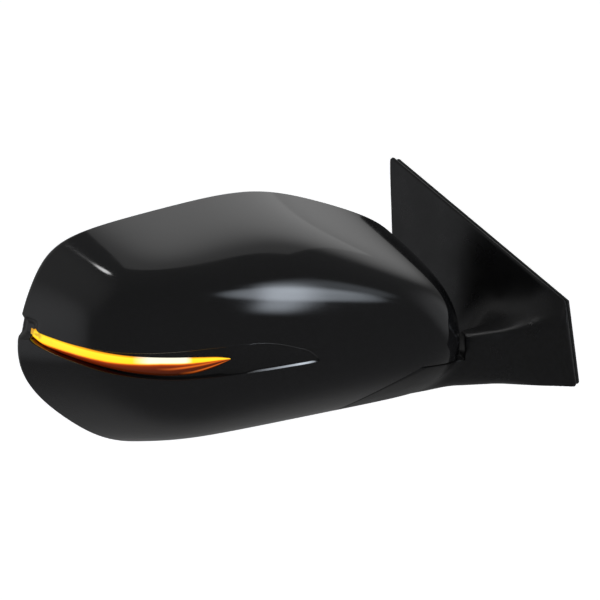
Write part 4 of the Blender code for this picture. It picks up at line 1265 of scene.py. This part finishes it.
def add_floor():
    mesh = bpy.data.meshes.new("floor")
    corners = [(x * FLOOR_REACH, y * FLOOR_REACH, FLOOR_Z) for x, y in ((-1, -1), (1, -1), (1, 1), (-1, 1))]
    mesh.from_pydata(corners, [], [(0, 1, 2, 3)])
    pale = Recipe("pale floor", (0.88, 0.88, 0.88), 0.9)
    pale.mottle(3.0, 0.004)
    pale.set("Specular IOR Level", 0.1)
    pale.set("Emission Color", (1.0, 1.0, 1.0, 1.0))
    pale.set("Emission Strength", 0.75)
    mesh.materials.append(pale.material)
    floor = bpy.data.objects.new("floor", mesh)
    floor.visible_glossy = False
    bpy.context.scene.collection.objects.link(floor)


# Soft bright patches of the surroundings: direction, half width in degrees, strength, colour.
GLOWS = (
    ((0.56, 0.47, 0.68), 28, 0.72, (1.0, 1.0, 1.0)),
    ((0.16, -0.67, 0.72), 12, 3.2, (0.82, 0.9, 1.0)),
    ((0.28, -0.54, 0.80), 11, 0.8, (0.82, 0.9, 1.0)),
    ((-0.16, 0.41, 0.90), 2.4, 9.0, (1.0, 1.0, 1.0)),
    ((-0.75, 0.66, 0.03), 26, 0.3, (0.93, 0.95, 1.0)),
    ((-0.50, 0.66, 0.55), 40, 0.12, (1.0, 1.0, 1.0)),
    ((0.80, -0.40, 0.30), 35, 0.3, (0.95, 0.97, 1.0)),
)
# The strip light: as a patch, but only near the plane with this normal, within this many degrees.
STRIP = ((0.12, -0.74, 0.66), 24, 5.0, (0.82, 0.9, 1.0))
STRIP_NORMAL = (0.939, -0.133, -0.319)
STRIP_HALF_THICKNESS = 5.0
AMBIENT = 0.14
SOFTBOX_PLACE = Vector((0.6, 0.7, 1.6))
SOFTBOX_TARGET = Vector((-0.15, 0.0, 0.0))
SOFTBOX_SIZE = 1.2
SOFTBOX_POWER = 1.2


def soft_patch(sky, direction, half_width, strength):
    """How bright a soft round patch is, from none at its edge to full at its middle."""
    toward = sky.vector("DOT_PRODUCT", sky.place, unit(np.array(direction)))
    return sky.span(toward, 0.0, strength, math.cos(math.radians(half_width)), 1.0, soft=True)


def near_strip(sky):
    """Full on the strip light's middle plane and none beyond its thickness."""
    off = sky.math("ABSOLUTE", sky.vector("DOT_PRODUCT", sky.place, unit(np.array(STRIP_NORMAL))))
    return sky.span(off, 0.0, 1.0, math.sin(math.radians(STRIP_HALF_THICKNESS)), 0.0, soft=True)


def add_sky():
    """Soft studio surroundings: even and dim, with bright patches and one strip light."""
    world = bpy.data.worlds.new("studio")
    bpy.context.scene.world = world
    world.use_nodes = True
    sky = Nodes(world.node_tree, "Generated")
    lights = [(soft_patch(sky, *placing), colour) for *placing, colour in GLOWS]
    *placing, colour = STRIP
    lights.append((sky.math("MULTIPLY", soft_patch(sky, *placing), near_strip(sky)), colour))
    total = (AMBIENT, AMBIENT, AMBIENT)
    for brightness, colour in lights:
        total = sky.vector("ADD", total, sky.vector("SCALE", colour, brightness))
    sky.link(total, world.node_tree.nodes["Background"].inputs["Color"])


def add_softbox():
    data = bpy.data.lights.new("overhead softbox", "AREA")
    data.size = SOFTBOX_SIZE
    data.energy = SOFTBOX_POWER
    light = bpy.data.objects.new("overhead softbox", data)
    light.location = SOFTBOX_PLACE
    light.rotation_euler = (SOFTBOX_TARGET - SOFTBOX_PLACE).to_track_quat("-Z", "Y").to_euler()
    bpy.context.scene.collection.objects.link(light)


def paint_frame(finishes):
    """Give every CAD node that is still shown the finish of its slot."""
    slot_of = {part["node"]: part["material_slot"] for part in frame["record"]["subparts"]}
    for name, node in frame["nodes"].items():
        node.data.materials.clear()
        node.data.materials.append(finishes[slot_of[name]])


def main():
    finishes = {name: plain_finish(*recipe) for name, recipe in FINISHES.items()}
    finishes["amber_lens"] = lit_amber_lens()
    finishes["circuit_board"] = circuit_board()
    finishes["heater_foil"] = heater_foil()
    paint_frame(finishes)
    build_cap(finishes["gloss_black_paint"], finishes["lip_highlight_paint"])
    build_bezel(finishes["gloss_black_paint"])
    build_lens(finishes["amber_lens"])
    build_rear_housing(finishes["smooth_housing"])
    build_mirror_glass(finishes["mirror_glass"])
    build_base_shell(finishes["smooth_base"])
    build_gasket(finishes["black_rubber"])
    build_studs(finishes["zinc_steel"])
    build_grommet(finishes["black_rubber"])
    add_camera()
    add_floor()
    add_sky()
    add_softbox()
    bpy.context.scene.view_settings.view_transform = "Standard"


main()
